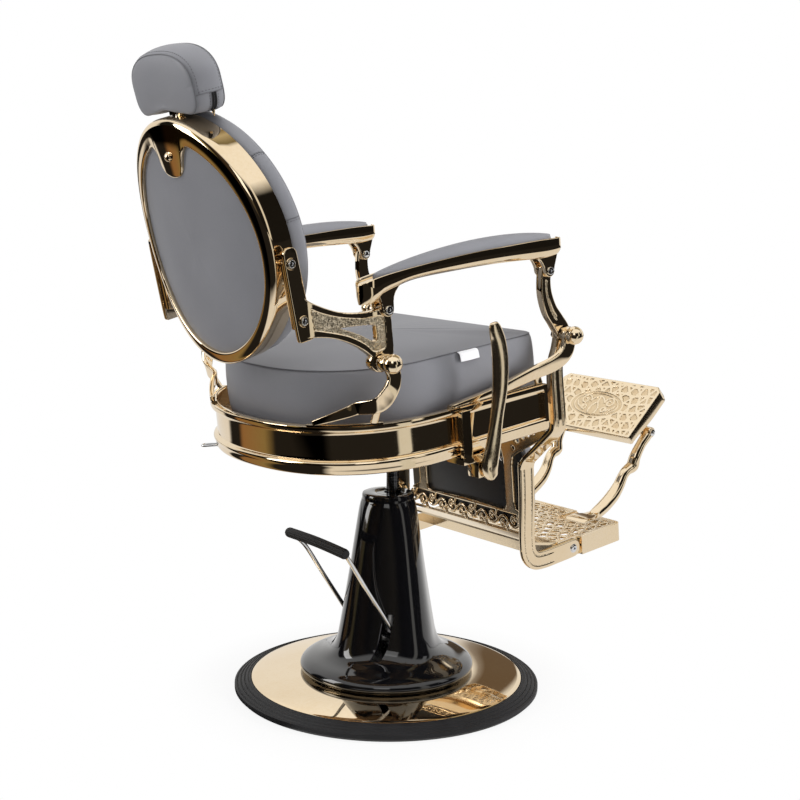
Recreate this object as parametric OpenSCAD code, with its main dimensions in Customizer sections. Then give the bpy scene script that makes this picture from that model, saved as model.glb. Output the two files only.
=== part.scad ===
// Hydraulic barber chair: round weighted base, foot-pumped lift column, swivelling seat,
// linked reclining back, armrests and legrest, folding step and a height-adjustable headrest.
// +Z is up, the sitter faces -Y, and the origin is the centre of the base on the floor.
// Seat, back, arms and legrest are drawn in the seat frame: x across, u to the rear, v up,
// tilted back by seat_tilt about the point of the seat underside above the base centre.

/* [Base] */
// Outer radius of the rubber rim
base_r = 320; // [260:5:380]
// Height of the rubber rim
rim_h = 26; // [20:1:40]
// Radius of the plated disc
disc_r = 285; // [230:5:340]
// Outer radius of the rounded foot of the column cover
foot_r = 182; // [150:2:215]
// Height of the top of the column cover above the floor
cover_top = 419; // [380:1:470]
// Radius of the column cover at its top
cover_top_r = 54; // [48:1:66]

/* [Lift] */
// Distance of the lift and swivel axis behind the base centre
axis_y = -12; // [-20:1:0]
// Radius of the piston rod
rod_r = 13; // [11:0.5:18]
// Outer radius of the pump cylinder
cylinder_r = 34; // [28:1:40]
// Travel of the lift above the drawn height
lift_up = 110; // [80:5:130]
// Travel of the lift below the drawn height
lift_down = 50; // [20:5:55]

/* [Seat frame] */
// Height of the seat frame underside at the swivel axis
seat_z = 557; // [530:1:600]
// Backward tilt of the seat in degrees
seat_tilt = 6.5; // [0:0.5:10]
// Half of the seat frame width
seat_half_w = 300; // [270:5:330]
// Height of the plated seat band
band_h = 95; // [80:1:110]
// Depth of the curved rear part of the band
band_bow = 250; // [220:5:280]
// Distance from the swivel axis to the front end of the side rails
rail_front = 165; // [150:5:200]
// Thickness of the seat band wall
band_t = 5; // [3:0.5:8]

/* [Seat cushion] */
// Half width of the seat cushion
cushion_half_w = 262; // [230:2:275]
// Height of the cushion seam above the seat frame underside
cushion_seam = 188; // [160:2:205]
// Rise of the cushion crown above its seam
cushion_crown = 19; // [6:1:24]
// Thickness of the plywood seat board
board_t = 14; // [9:1:20]

/* [Linkage] */
// Thickness of the side castings
casting_t = 16; // [12:1:20]
// Radius of the main pivot pins
pivot_r = 8; // [6:0.5:10]
// Radius of the ball on the outside of each main pivot
ball_r = 18; // [14:1:22]
// Radius of the armrest clevis pins
arm_pin_r = 5; // [4:0.5:7]
// Height of the rear main pivot in the seat frame
rear_pivot_v = 215; // [205:1:230]
// Distance from the swivel axis back to the rear main pivot
rear_pivot_u = 233; // [220:1:245]
// Distance from the swivel axis forward to the front main pivot
front_pivot_u = 224; // [215:1:240]
// Height of the front main pivot in the seat frame
front_pivot_v = 183; // [175:1:195]

/* [Back] */
// Half width of the back shell
back_a = 208; // [190:2:225]
// Half height of the back shell
back_b = 233; // [215:1:245]
// Depth of the back shell
shell_d = 50; // [36:1:60]
// How far the sides of the back come forward round the sitter
back_bend = 29; // [0:1:40]
// Lean of the back from the seat frame in degrees
back_lean = 9; // [5:0.5:14]
// Thickness of the back cushion in front of the shell, at its middle
back_pad = 62; // [40:1:75]

/* [Headrest] */
// Half width of the headrest
head_half_w = 112; // [95:1:130]
// Height of the headrest pad
head_h = 126; // [100:1:150]
// Thickness of the headrest pad
head_t = 70; // [55:1:90]
// Height of the lower corners of the headrest pad above the top of the back shell
head_gap = -2; // [-4:1:30]
// Travel of the headrest stem
head_travel = 110; // [60:5:130]

/* [Armrests] */
// Half width of an armrest at its front
arm_half_w = 29; // [24:1:34]
// Height of the plated armrest frame
arm_frame_h = 28; // [22:1:34]
// Rise of the armrest pad above its frame
arm_crown = 21; // [14:1:28]
// Height of the armrest pins above the seat frame underside
arm_pin_v = 311; // [300:1:320]

/* [Legrest] */
// Half of the distance between the middles of the two leg castings
leg_half_w = 203; // [190:1:210]
// Thickness of the leg castings beside the tray
leg_t = 9; // [7:1:12]
// Width of the leg casting bars
leg_w = 39; // [32:1:42]
// Front edge of the footrest tray, forward of the swivel axis
tray_front = 450; // [430:5:480]
// Depth of the tray skirt
tray_d = 40; // [32:1:50]
// Half width of the step plate
step_half_w = 151; // [130:1:160]
// Length of the step plate
step_len = 153; // [140:1:175]
// Radius of the tubular yoke that carries the step
yoke_r = 9.5; // [8:0.5:12]

/* [Levers] */
// Radius of the pump lever bar
lever_r = 4.5; // [4:0.5:6]
// Radius of the ribbed pump grip
grip_r = 9; // [7:0.5:12]
// Half length of the pump grip
grip_half = 88; // [60:2:96]
// Width of the recline lever
recline_w = 30; // [24:1:36]

/* [Clearances] */
// Radial clearance of a running pin in its bore
run_clear = 0.05; // [0.02:0.01:0.1]
// Side clearance between a casting and what turns beside it
side_clear = 0.5; // [0.3:0.1:1]
// Gap round a soft pad
soft_clear = 0.3; // [0.2:0.1:1]
// Play left at the front armrest pins, where the four-bar linkage is opened
link_play = 1.3; // [1.1:0.1:2]

/* [Hidden] */

gold = "#c9a566";
leather = "#7d7e84";
steel = "#b9bcc0";
gloss_black = "#101013";
rubber = "#26272a";
wood = "#b58a58";

$fn = 48;
fine = 32;      // segments of the small round parts
tiny = 0.01;    // overlap of cutting tools past a face

// ---- general helpers ----

function mix(a, b, t) = a + (b - a) * t;
// Point at t on the curve from p1 to p2 that leaves p1 and reaches p2 along its neighbours
function curve_point(p0, p1, p2, p3, t) =
  0.5 * (2 * p1 + (p2 - p0) * t + (2 * p0 - 5 * p1 + 4 * p2 - p3) * t * t
    + (3 * p1 - p0 - 3 * p2 + p3) * t * t * t);
// Smooth curve through the points p, with n steps between each two
function smooth(p, n = 4) = [
  for (i = [0 : len(p) - 2]) for (k = [0 : n - 1])
    curve_point(p[max(i - 1, 0)], p[i], p[i + 1], p[min(i + 2, len(p) - 1)], k / n),
  p[len(p) - 1]];
function heading(q, i) =
  let (a = q[max(i - 1, 0)], b = q[min(i + 1, len(q) - 1)], d = [b[0] - a[0], b[1] - a[1]])
  d / norm(d);
// Outline of a bar whose centre line passes through [u, v, half width]
function bar_outline(q) = concat(
  [for (i = [0 : len(q) - 1]) let (t = heading(q, i))
    [q[i][0] - t[1] * q[i][2], q[i][1] + t[0] * q[i][2]]],
  [for (i = [len(q) - 1 : -1 : 0]) let (t = heading(q, i))
    [q[i][0] + t[1] * q[i][2], q[i][1] - t[0] * q[i][2]]]);
function power(c, n) = sign(c) * pow(abs(c), 2 / n);

// Faces of a stack of rings with n points each, closed by a point below and a point above
function stack_faces(n, m) = concat(
  [for (j = [0 : m - 2]) for (i = [0 : n - 1]) let (k = (i + 1) % n)
    [j * n + i, j * n + k, (j + 1) * n + k]],
  [for (j = [0 : m - 2]) for (i = [0 : n - 1]) let (k = (i + 1) % n)
    [j * n + i, (j + 1) * n + k, (j + 1) * n + i]],
  [for (i = [0 : n - 1]) [i, n * m, (i + 1) % n]],
  [for (i = [0 : n - 1]) [(m - 1) * n + i, (m - 1) * n + (i + 1) % n, n * m + 1]]);
// Solid through a stack of rings, drawn anticlockwise as seen from its top
module ring_stack(rings, low, high) {
  points = concat([for (r = rings) each r], [low, high]);
  polyhedron(points = points, faces = [for (f = stack_faces(len(rings[0]), len(rings)))
    [f[2], f[1], f[0]]], convexity = 6);
}
// Solid swept round a closed path: rings are the cross-sections in order
module ring_loop(rings) {
  n = len(rings[0]);
  m = len(rings);
  polyhedron(points = [for (r = rings) each r], faces = concat(
    [for (j = [0 : m - 1]) for (i = [0 : n - 1])
      [j * n + i, j * n + (i + 1) % n, ((j + 1) % m) * n + (i + 1) % n]],
    [for (j = [0 : m - 1]) for (i = [0 : n - 1])
      [j * n + i, ((j + 1) % m) * n + (i + 1) % n, ((j + 1) % m) * n + i]]), convexity = 6);
}
// Round tube of radius r along a list of points
function unit(v) = v / norm(v);
function path_dir(p, i) = unit(p[min(i + 1, len(p) - 1)] - p[max(i - 1, 0)]);
function tube_ring(p, i, r, side, sides) =
  let (t = path_dir(p, i), a = unit(side - (side * t) * t), b = cross(t, a))
  [for (k = [0 : sides - 1]) p[i] + r * (cos(360 * k / sides) * a + sin(360 * k / sides) * b)];
module tube(p, r, side = [1, 0, 0], sides = 12) {
  ring_stack([for (i = [0 : len(p) - 1]) tube_ring(p, i, r, side, sides)], p[0], p[len(p) - 1]);
}

// Flat bar along a path of [x, u, v, half width, heading of its outer face in plan]
function bar_ring(q, i, t) =
  let (a = path_dir([for (e = q) [e[0], e[1], e[2]]], i), n0 = [cos(q[i][4]), sin(q[i][4]), 0],
    n = unit(n0 - (n0 * a) * a), w = cross(a, n), h = q[i][3], b = min(3, h / 3), c = [q[i][0], q[i][1], q[i][2]])
  [for (e = [[h - b, t / 2], [h, t / 2 - b], [h, b - t / 2], [h - b, -t / 2], [b - h, -t / 2], [-h, b - t / 2],
    [-h, t / 2 - b], [b - h, t / 2]]) c + e[0] * w + e[1] * n];
module flat_bar(q, t) {
  last = len(q) - 1;
  ring_stack([for (i = [0 : last]) bar_ring(q, i, t)], [q[0][0], q[0][1], q[0][2]],
    [q[last][0], q[last][1], q[last][2]]);
}

// Places what is drawn in the seat frame
module in_seat() { translate([0, 0, seat_z]) rotate([-seat_tilt, 0, 0]) children(); }
// Extrudes an outline drawn in (u, v) to a plate of thickness t centred on x
module plate(x, t) { translate([x - t / 2, 0, 0]) rotate([90, 0, 90]) linear_extrude(t) children(); }
// Cylinder along x, from x0 to x1
module pin(x0, x1, u, v, r) { translate([min(x0, x1), u, v]) rotate([0, 90, 0])
  cylinder(r = r, h = abs(x1 - x0)); }
// Plate drawn in (x, v), from u0 back to u1
module slab(u0, u1) { translate([0, u1, 0]) rotate([90, 0, 0]) linear_extrude(u1 - u0) children(); }
module both_sides() { children(); mirror([1, 0, 0]) children(); }

// ---- base ----

disc_top = 40;
plate_under = 12;     // seat of the plated disc in the rim, above the floor
disc_under = 28;      // underside of the disc inside the rim
rim_in = 30;          // reach of the rim under the disc
disc_boss = 46;       // radius of the boss under the pump that stands on the floor with the rim

module base_rim() color(rubber) rotate_extrude($fn = 96) {
  lip = 4;
  steps = 4;
  step_w = (base_r - disc_r - lip) / steps;
  polygon(concat([[disc_r - rim_in, 0], [base_r - 6, 0], [base_r, 6]],
    [for (i = [0 : steps - 1]) each [
      [base_r - i * step_w, rim_h - 12 + i * 3],
      [base_r - i * step_w - step_w * 0.5, rim_h - 10 + i * 3],
      [base_r - i * step_w - step_w * 0.8, rim_h - 11 + i * 3]]],
    [[disc_r + 1, rim_h], [disc_r + 1, plate_under], [disc_r - rim_in, plate_under]]));
}
module base_disc() color(gold) difference() {
  rotate_extrude($fn = 96) polygon([[0, 0], [disc_boss, 0], [disc_boss, disc_under],
    [disc_r - rim_in - 6, disc_under], [disc_r - rim_in, plate_under],
    [disc_r, plate_under], [disc_r, rim_h - 2], [disc_r - 3, rim_h + 1],
    [mix(foot_r, disc_r, 0.5), mix(rim_h + 1, disc_top, 0.7)], [foot_r - 12, disc_top], [0, disc_top]]);
  at_base_bolts() translate([0, 0, disc_under - 1]) cylinder(r = base_bolt_r + 0.5, h = 40, $fn = fine);
}
base_bolt_r = 6;
module at_base_bolts() for (a = [45 : 90 : 315]) rotate(a) translate([foot_r - 74, 0, 0]) children();

// The cover is a hollow tower with four soft lobes that swell into the round foot
lobe = 0.055;
cover_wall = 3.5;
cover_rows = [[disc_top, foot_r - 9, 0], [disc_top + 9, foot_r, 0], [disc_top + 20, foot_r - 3, 0],
  [disc_top + 29, foot_r - 17, 0], [disc_top + 38, foot_r - 44, 0.1], [disc_top + 50, foot_r - 62, 0.5],
  [disc_top + 72, foot_r - 73, 1], [disc_top + 110, foot_r - 81, 1], [mix(disc_top, cover_top, 0.56),
  mix(cover_top_r, foot_r - 81, 0.62), 0.9], [cover_top - 90, cover_top_r + 17, 0.7],
  [cover_top - 34, cover_top_r + 7, 0.3], [cover_top - 14, cover_top_r + 1, 0]];
function cover_at(row, a, inset) = let (r = (row[1] - inset) * (1 + lobe * row[2] * cos(4 * a)))
  [r * cos(a), r * sin(a), row[0]];
slot_w = 16;
lever_gap_x = 73;     // distance of each leg of the pump lever from the middle
rocker_y = 22;        // rocker pivot, behind the base centre
rocker_z = 112;       // and above the floor
module column_cover() color(gloss_black) difference() {
  last = len(cover_rows) - 1;
  ring_loop([for (k = [0 : 47]) let (a = 360 * k / 48) concat([for (r = cover_rows) cover_at(r, a, 0)],
    [for (i = [last : -1 : 0]) cover_at(cover_rows[i], a, cover_wall)])]);
  // slots that the two legs of the pump lever work in
  both_sides() translate([lever_gap_x - slot_w / 2, rocker_y - 12, rocker_z - 22])
    cube([slot_w, 90, 92]);
}
module cover_collar() color(gloss_black) difference() {
  translate([0, 0, cover_top - 14]) cylinder(r = cover_top_r, h = 14);
  translate([0, axis_y, cover_top - 15]) cylinder(r = rod_r + 5, h = 16);
}

pump_top = cover_top - 24;
pump_floor = disc_top + 14;
module pump_cylinder() color(steel) difference() {
  union() {
    translate([0, 0, disc_top]) cylinder(r = foot_r - 60, h = pump_floor - disc_top);
    translate([0, axis_y, disc_top]) cylinder(r = cylinder_r, h = pump_top - disc_top);
    // bearing block of the rocker, with the small pump barrel below it
    translate([-26, rocker_y - 12, disc_top]) cube([52, 24, rocker_z + 12 - disc_top]);
  }
  translate([0, axis_y, pump_floor]) cylinder(r = rod_r + 7, h = pump_top);
  pin(-30, 30, rocker_y, rocker_z, 8 + run_clear);
  at_base_bolts() translate([0, 0, disc_top - 1]) cylinder(r = base_bolt_r + 0.5, h = 16, $fn = fine);
}
module base_bolts() color(steel) at_base_bolts() {
  translate([0, 0, disc_under]) cylinder(r = base_bolt_r, h = pump_floor - disc_under + 1, $fn = fine);
  translate([0, 0, pump_floor]) cylinder(r = base_bolt_r + 4, h = 8, $fn = 6);
}

// ---- pump lever ----

module pump_rocker() color(steel) {
  pin(-lever_gap_x + lever_r + 1, lever_gap_x - lever_r - 1, rocker_y, rocker_z, 8);
}
grip_y = 185;
grip_z = 338;
// Route of one leg, from the rocker shaft out through its slot and up to the cross bar
leg_route = [[lever_gap_x, rocker_y, rocker_z], [lever_gap_x, rocker_y + 40, rocker_z + 60],
  [lever_gap_x, 112, 245], [lever_gap_x + 1, 156, 311], [lever_gap_x + 6, 176, 332],
  [grip_half - 2, grip_y, grip_z]];
module pump_lever() color(steel) {
  both_sides() {
    tube(smooth(leg_route, 4), lever_r, [1, 0, 0], 10);
    translate([lever_gap_x, rocker_y, rocker_z]) rotate([0, 90, 0])
      cylinder(r = 11, h = 2 * lever_r + 1.6, center = true);
  }
  pin(-grip_half + 2, grip_half - 2, grip_y, grip_z, lever_r);
}
module pump_grip() color(rubber) difference() {
  union() {
    pin(-grip_half - 6, grip_half + 6, grip_y, grip_z, grip_r - 1.2);
    ribs = 16;
    for (i = [0 : ribs - 1]) translate([-grip_half + 4 + i * (2 * grip_half - 8) / (ribs - 1), 0, 0])
      pin(-3, 3, grip_y, grip_z, grip_r);
  }
  pin(-grip_half + 2 - tiny, grip_half - 2 + tiny, grip_y, grip_z, lever_r);
  both_sides() translate([grip_half - 2, grip_y, grip_z]) rotate([-40, 0, 0])
    translate([-lever_r - 1, -20, -lever_r - 1]) cube([2 * lever_r + 2, 22, 2 * lever_r + 2]);
}

// ---- lift and swivel ----

rod_top = seat_z - 46;
rod_foot = pump_floor + lift_down + 12;
guide_h = min(60, pump_top - rod_foot - lift_up - 30);   // piston and guide length on the rod
module piston_rod() color(rubber) {
  translate([0, axis_y, rod_foot]) cylinder(r = rod_r, h = rod_top - rod_foot);
  translate([0, axis_y, rod_foot]) cylinder(r = rod_r + 7 - run_clear, h = guide_h);
}
// Hub on the rod that carries the turning seat
module swivel_bearing() color(steel) translate([0, axis_y, rod_top]) {
  cylinder(r = 30, h = 8);
  cylinder(r = 18, h = 26);
}
module seat_mount() color(gloss_black) {
  difference() {
    translate([0, axis_y, rod_top + 8 + side_clear]) cylinder(r = 34, h = seat_z - rod_top - 8);
    translate([0, axis_y, rod_top + 7]) cylinder(r = 18 + run_clear, h = 26 - 7 + side_clear);
  }
  in_seat() difference() {
    translate([-120, -150, 0]) cube([240, 300, 8]);
    for (x = [-100, 100]) for (u = [-130, 130]) translate([x, u, -1]) cylinder(r = 4.5, h = 12, $fn = fine);
  }
}

// ---- seat frame ----

band_n = 2.25;
band_mid = 98;       // where the straight sides turn into the rear curve
rail_back = 62;       // rear end of the side rails
board_v = 46;         // underside of the seat board
// Horseshoe from the right side round the rear to the left, drawn inside the band by inset
function horseshoe(half, bow, mid, inset, steps = 28) = [for (k = [0 : steps])
  let (a = 180 - 180 * k / steps)
  [(half - inset) * power(cos(a), band_n), mid + (bow - inset) * power(sin(a), band_n)]];
function band_outline(inset) = horseshoe(seat_half_w, band_bow, band_mid, inset);
module band_layer(v0, v1, inset) translate([0, 0, v0]) linear_extrude(v1 - v0)
  polygon(concat([[-seat_half_w + inset, rail_back]], band_outline(inset), [[seat_half_w - inset, rail_back]]));
lip = 13;
bead_v = 17;
module band_bore(inset) translate([0, 0, -1]) linear_extrude(band_h + 2)
  polygon(concat([[-seat_half_w + inset, rail_back - 1]], band_outline(inset), [[seat_half_w - inset, rail_back - 1]]));
band_recess = 9;
module seat_band() color(gold) in_seat() difference() {
  union() {
    band_layer(0, 5, 7);
    band_layer(5, bead_v, 3);
    band_layer(bead_v, bead_v + 8, 0);
    band_layer(bead_v + 8, band_h - lip, band_recess);
    band_layer(band_h - lip, band_h, 0);
  }
  band_bore(band_recess + band_t);
}
// Section of a side rail, in (distance outwards from the rail's inner face, v)
rail_proud = 3;
rail_section = let (w = band_recess + band_t + rail_proud) [[0, 0], [w - 8, 0], [w - 2, 5], [w - 2, bead_v],
  [w, bead_v + 3], [w, bead_v + 7], [w - 9, bead_v + 10], [w - 9, band_h - lip - 2], [w, band_h - lip],
  [w, band_h], [0, band_h]];
module side_rails() color(gold) in_seat() both_sides()
  translate([seat_half_w - band_recess - band_t, rail_back - soft_clear, 0]) rotate([90, 0, 0])
    linear_extrude(rail_front + rail_back - soft_clear) polygon(rail_section);
module front_rail() color(gold) in_seat()
  translate([-seat_half_w + band_recess + band_t, -rail_front, 0])
    cube([2 * (seat_half_w - band_recess - band_t), 8, board_v]);
module seat_board() color(wood) in_seat() difference() {
  translate([0, 0, board_v]) linear_extrude(board_t) polygon(concat(
    [[-seat_half_w + band_recess + band_t + soft_clear, -rail_front - 14]],
    horseshoe(seat_half_w, band_bow, band_mid, band_recess + band_t + soft_clear),
    [[seat_half_w - band_recess - band_t - soft_clear, -rail_front - 14]]));
  for (x = [-100, 100]) for (u = [-130, 130]) translate([x, u, board_v - 1]) cylinder(r = 4.5, h = 30, $fn = fine);
}
// Spacers and bolts between the seat mount and the seat board
module mount_bolts() color(steel) in_seat() for (x = [-100, 100]) for (u = [-130, 130]) {
  translate([x, u, 8]) cylinder(r = 12, h = board_v - 8, $fn = fine);
  translate([x, u, -6]) cylinder(r = 4.4, h = board_v + board_t + 4, $fn = fine);
  translate([x, u, -6]) cylinder(r = 8, h = 6, $fn = 6);
}

// ---- seat cushion ----

cushion_front = 192;
cushion_bow = 214;
cushion_corner = 34;
cushion_steps = 26;
// Plan of the cushion: round at the rear, square at the front with round corners
function cushion_plan(inset, v) = let (a = cushion_half_w - inset, f = -cushion_front + inset,
  c = cushion_corner) concat(
  [for (k = [0 : cushion_steps]) let (t = 180 * k / cushion_steps)
    [a * power(cos(t), band_n), band_mid + (cushion_bow - inset) * power(sin(t), band_n), v]],
  [[-a, mix(band_mid, f + c, 0.5), v]],
  [for (t = [180 : 22.5 : 270]) [-a + c + c * cos(t), f + c + c * sin(t), v]],
  [[0, f, v]],
  [for (t = [270 : 22.5 : 360]) [a - c + c * cos(t), f + c + c * sin(t), v]],
  [[a, mix(band_mid, f + c, 0.5), v]]);
function toward(p, c, s, v) = [c[0] + (p[0] - c[0]) * s, c[1] + (p[1] - c[1]) * s, v];
cushion_low = board_v + board_t + soft_clear;
module seat_cushion() color(leather) in_seat() {
  mid = [0, 40];
  rise = cushion_crown;
  side = [[cushion_low, 12], [cushion_low + 10, 5], [mix(cushion_low, cushion_seam, 0.3), 2],
    [mix(cushion_low, cushion_seam, 0.6), 0], [mix(cushion_low, cushion_seam, 0.85), 1.5],
    [cushion_seam - 3, 4.5], [cushion_seam, 6.5], [cushion_seam + 3, 8]];
  crown = [for (s = [0.95, 0.86, 0.72, 0.52, 0.28]) [s, cushion_seam + 3 + (rise - 3) * (1 - pow(s, 2.6))]];
  ring_stack(concat([for (r = side) cushion_plan(r[1], r[0])],
    [for (r = crown) [for (p = cushion_plan(8, 0)) toward(p, mid, r[0], r[1])]]),
    [mid[0], mid[1], cushion_low], [mid[0], mid[1], cushion_seam + rise]);
}
// Bare cloth tab sewn into the side seam
module blank_tag() color("white") in_seat()
  translate([-cushion_half_w - 0.4, -20, cushion_seam - 22]) cube([1.2, 38, 17]);

// ---- seat brackets and main pivots ----

casting_x = seat_half_w - casting_t / 2 - 3;
bracket_t = 13;
boss_w = 6.5;         // spacing boss between a bracket and the casting beside it
bracket_x = casting_x + casting_t / 2 + side_clear + boss_w + bracket_t / 2;
ball_x = bracket_x + bracket_t / 2 + ball_r / 2;
rear_pivot = [rear_pivot_u, rear_pivot_v];
front_pivot = [-front_pivot_u, front_pivot_v];
boss_r = 16;
foot_t = 3.5;         // thickness of the bracket feet on the band
module pivot_boss(at) { pin(bracket_x - bracket_t / 2 - boss_w, bracket_x + bracket_t / 2, at[0], at[1], boss_r); }
module pivot_bore(at) { pin(0, 400, at[0], at[1], pivot_r); }
rail_mid = seat_half_w - 7;
front_route = [[bracket_x, front_pivot[0], front_pivot[1], 14, 0],
  [bracket_x, front_pivot[0] + 3, front_pivot[1] - 17, 15.5, 0],
  [bracket_x, front_pivot[0] + 11, front_pivot[1] - 33, 15.5, 0],
  [bracket_x - 2, front_pivot[0] + 27, front_pivot[1] - 45, 13.5, 0],
  [bracket_x - 7, front_pivot[0] + 52, band_h + 34, 12, 0],
  [rail_mid + 3, front_pivot[0] + 84, band_h + 27, 9, 0], [rail_mid, front_pivot[0] + 124, band_h + 19, 7.5, 0],
  [rail_mid, front_pivot[0] + 164, band_h + 12, 6.5, 0], [rail_mid, front_pivot[0] + 220, band_h + 6, 6, 0],
  [rail_mid, front_pivot[0] + 305, band_h + 2.5, 2.5, 0]];
module front_bracket(side) color(gold) in_seat() scale_side(side) difference() {
  union() {
    flat_bar(smooth(front_route, 3), bracket_t);
    pivot_boss(front_pivot);
    // long foot that is screwed to the top of the side rail
    translate([rail_mid - 7, front_pivot[0] + 70, band_h]) cube([14, 236, foot_t]);
    translate([rail_mid - 4, front_pivot[0] + 70, band_h]) cube([8, 10, 34]);
  }
  pivot_bore(front_pivot);
  translate([0, -200, -1]) cube([400, 400, band_h + 1]);
}
function band_point(a, inset) = [(seat_half_w - inset) * power(cos(a), band_n),
  band_mid + (band_bow - inset) * power(sin(a), band_n)];
rear_route = concat([[bracket_x, rear_pivot[0] - 2, rear_pivot[1], 14, 0],
  [bracket_x, rear_pivot[0] - 11, rear_pivot[1] - 18, 14, 0],
  [bracket_x, rear_pivot[0] - 12, rear_pivot[1] - 32, 13.5, 4],
  [bracket_x - 2, rear_pivot[0] - 8, rear_pivot[1] - 46, 15, 10],
  [bracket_x - 8, rear_pivot[0] - 2, band_h + 60, 15.5, 18], [bracket_x - 17, rear_pivot[0] + 5, band_h + 47, 15, 27],
  [bracket_x - 32, rear_pivot[0] + 12, band_h + 39, 14, 36]],
  [for (k = [0 : 4]) let (f = k / 4, q = band_point(37 + 5 * k, 5))
    [q[0], q[1], band_h + mix(32, 5, f), mix(12, 5, f), 44 + 4 * k]]);
module rear_bracket(side) color(gold) in_seat() scale_side(side) difference() {
  union() {
    flat_bar(smooth(rear_route, 3), bracket_t - 3);
    pivot_boss(rear_pivot);
    // foot that follows the top of the band round the corner
    translate([0, 0, band_h]) linear_extrude(foot_t)
      polygon(concat([for (a = [27 : 3 : 60]) band_point(a, 0)], [for (a = [60 : -3 : 27]) band_point(a, 12)]));
    // web that closes the front end of the foot
    flat_bar([concat(band_point(31, 6), [band_h + 1, 7, 30]), [bracket_x - 24, rear_pivot[0] + 8, band_h + 42, 7, 30]], 8);
  }
  pivot_bore(rear_pivot);
  translate([0, 100, -1]) cube([400, 400, band_h + 1]);
}
// side is -1 for the sitter's right and 1 for the left
module scale_side(side) { if (side > 0) children(); else mirror([1, 0, 0]) children(); }
module rear_bracket_right() rear_bracket(-1);
module rear_bracket_left() rear_bracket(1);
module front_bracket_right() front_bracket(-1);
module front_bracket_left() front_bracket(1);

// Pivot pin with a ball outside the bracket and a nut inside the casting
module pivot_pin(at) {
  inner = casting_x - casting_t / 2 - side_clear;
  pin(inner - 9, bracket_x + bracket_t / 2 + 2, at[0], at[1], pivot_r);
  translate([inner - 8, at[0], at[1]]) rotate([0, 90, 0]) cylinder(r = pivot_r * 1.7, h = 8, $fn = 6);
  difference() {
    translate([ball_x, at[0], at[1]]) sphere(r = ball_r);
    translate([bracket_x + bracket_t / 2 - 80, at[0] - 40, at[1] - 40]) cube([80, 80, 80]);
  }
}
module rear_pivots() color(gold) in_seat() both_sides() pivot_pin(rear_pivot);
module front_pivots() color(gold) in_seat() both_sides() pivot_pin(front_pivot);

// ---- recline lever ----

lever_x = seat_half_w + 30;
lever_pivot = [24, -28];
module lever_bracket() color(gold) in_seat() {
  difference() {
    union() {
      // plate under the band, with a strap up its outer face
      translate([-seat_half_w - rail_proud - 10, lever_pivot[0] - 20, -14]) cube([66, 68, 14 - soft_clear]);
      translate([-seat_half_w - rail_proud - 10, lever_pivot[0] + 24, -14]) cube([10 - soft_clear, 22, band_h + 8]);
      translate([-lever_x + 10, lever_pivot[0] - 20, -44]) cube([30, 40, 32]);
    }
    pin(-lever_x - 1, -lever_x + 60, lever_pivot[0], lever_pivot[1], 7 + run_clear);
    for (u = [18, 40]) translate([-seat_half_w + 24, lever_pivot[0] - 16 + u, -40])
      cylinder(r = 4, h = 60, $fn = fine);
  }
}
module lever_bolts() color(steel) in_seat() for (u = [18, 40])
  translate([-seat_half_w + 24, lever_pivot[0] - 16 + u, 0]) {
    translate([0, 0, -22]) cylinder(r = 7, h = 8, $fn = 6);
    translate([0, 0, -18]) cylinder(r = 3.9, h = 18 - soft_clear, $fn = fine);
  }
module recline_lever() color(gold) in_seat() {
  w = recline_w / 2;
  difference() {
    plate(-lever_x - 1, 9) polygon(bar_outline(smooth([
      [lever_pivot[0] - 3, lever_pivot[1] - 18, w * 0.27], [lever_pivot[0] - 2, lever_pivot[1] - 10, w],
      [lever_pivot[0], lever_pivot[1] + 8, w * 1.2], [12, 15, w * 1.1], [-2, 70, w * 0.93], [-13, 120, w * 1.13],
      [-18, 170, w * 1.2], [-17, 208, w * 1.17], [-11, 235, w * 0.8], [-7, 249, w * 0.2]], 5)));
    pin(-lever_x - 20, -lever_x + 20, lever_pivot[0], lever_pivot[1], 6);
  }
  pin(-lever_x - 5.5, -lever_x + 38, lever_pivot[0], lever_pivot[1], 6);
  pin(-lever_x + 4, -lever_x + 38, lever_pivot[0], lever_pivot[1], 7);
}
// Locking strut body under the seat, on its own bracket
module recline_lock() color(gloss_black) in_seat() {
  translate([-150, -120, -24]) rotate([-90, 0, 0]) cylinder(r = 12, h = 230);
  translate([-158, 60, -24]) cube([60, 24, 24 - soft_clear]);
  translate([-158, -100, -24]) cube([60, 24, 24 - soft_clear]);
}
hook_at = band_point(48, 10);
module strap_hook() color(steel) in_seat() translate([hook_at[0], hook_at[1], 0]) rotate(-40) {
  tube(smooth([[-5, 2, -5], [-7, 22, -5], [-4, 36, -5], [4, 40, -5], [9, 33, -5], [6, 22, -5], [5, 2, -5]], 3),
    2.2, [0, 0, 1], 8);
  translate([-9, -7, -8]) cube([18, 12, 8]);
}

// ---- back ----

// Centre of the rear face of the back shell in the seat frame
back_centre = [421, 435];
module in_back() { translate([0, back_centre[0], back_centre[1]]) rotate([-back_lean, 0, 0]) children(); }
function bend(x) = back_bend * pow(x / back_a, 2);
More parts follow.
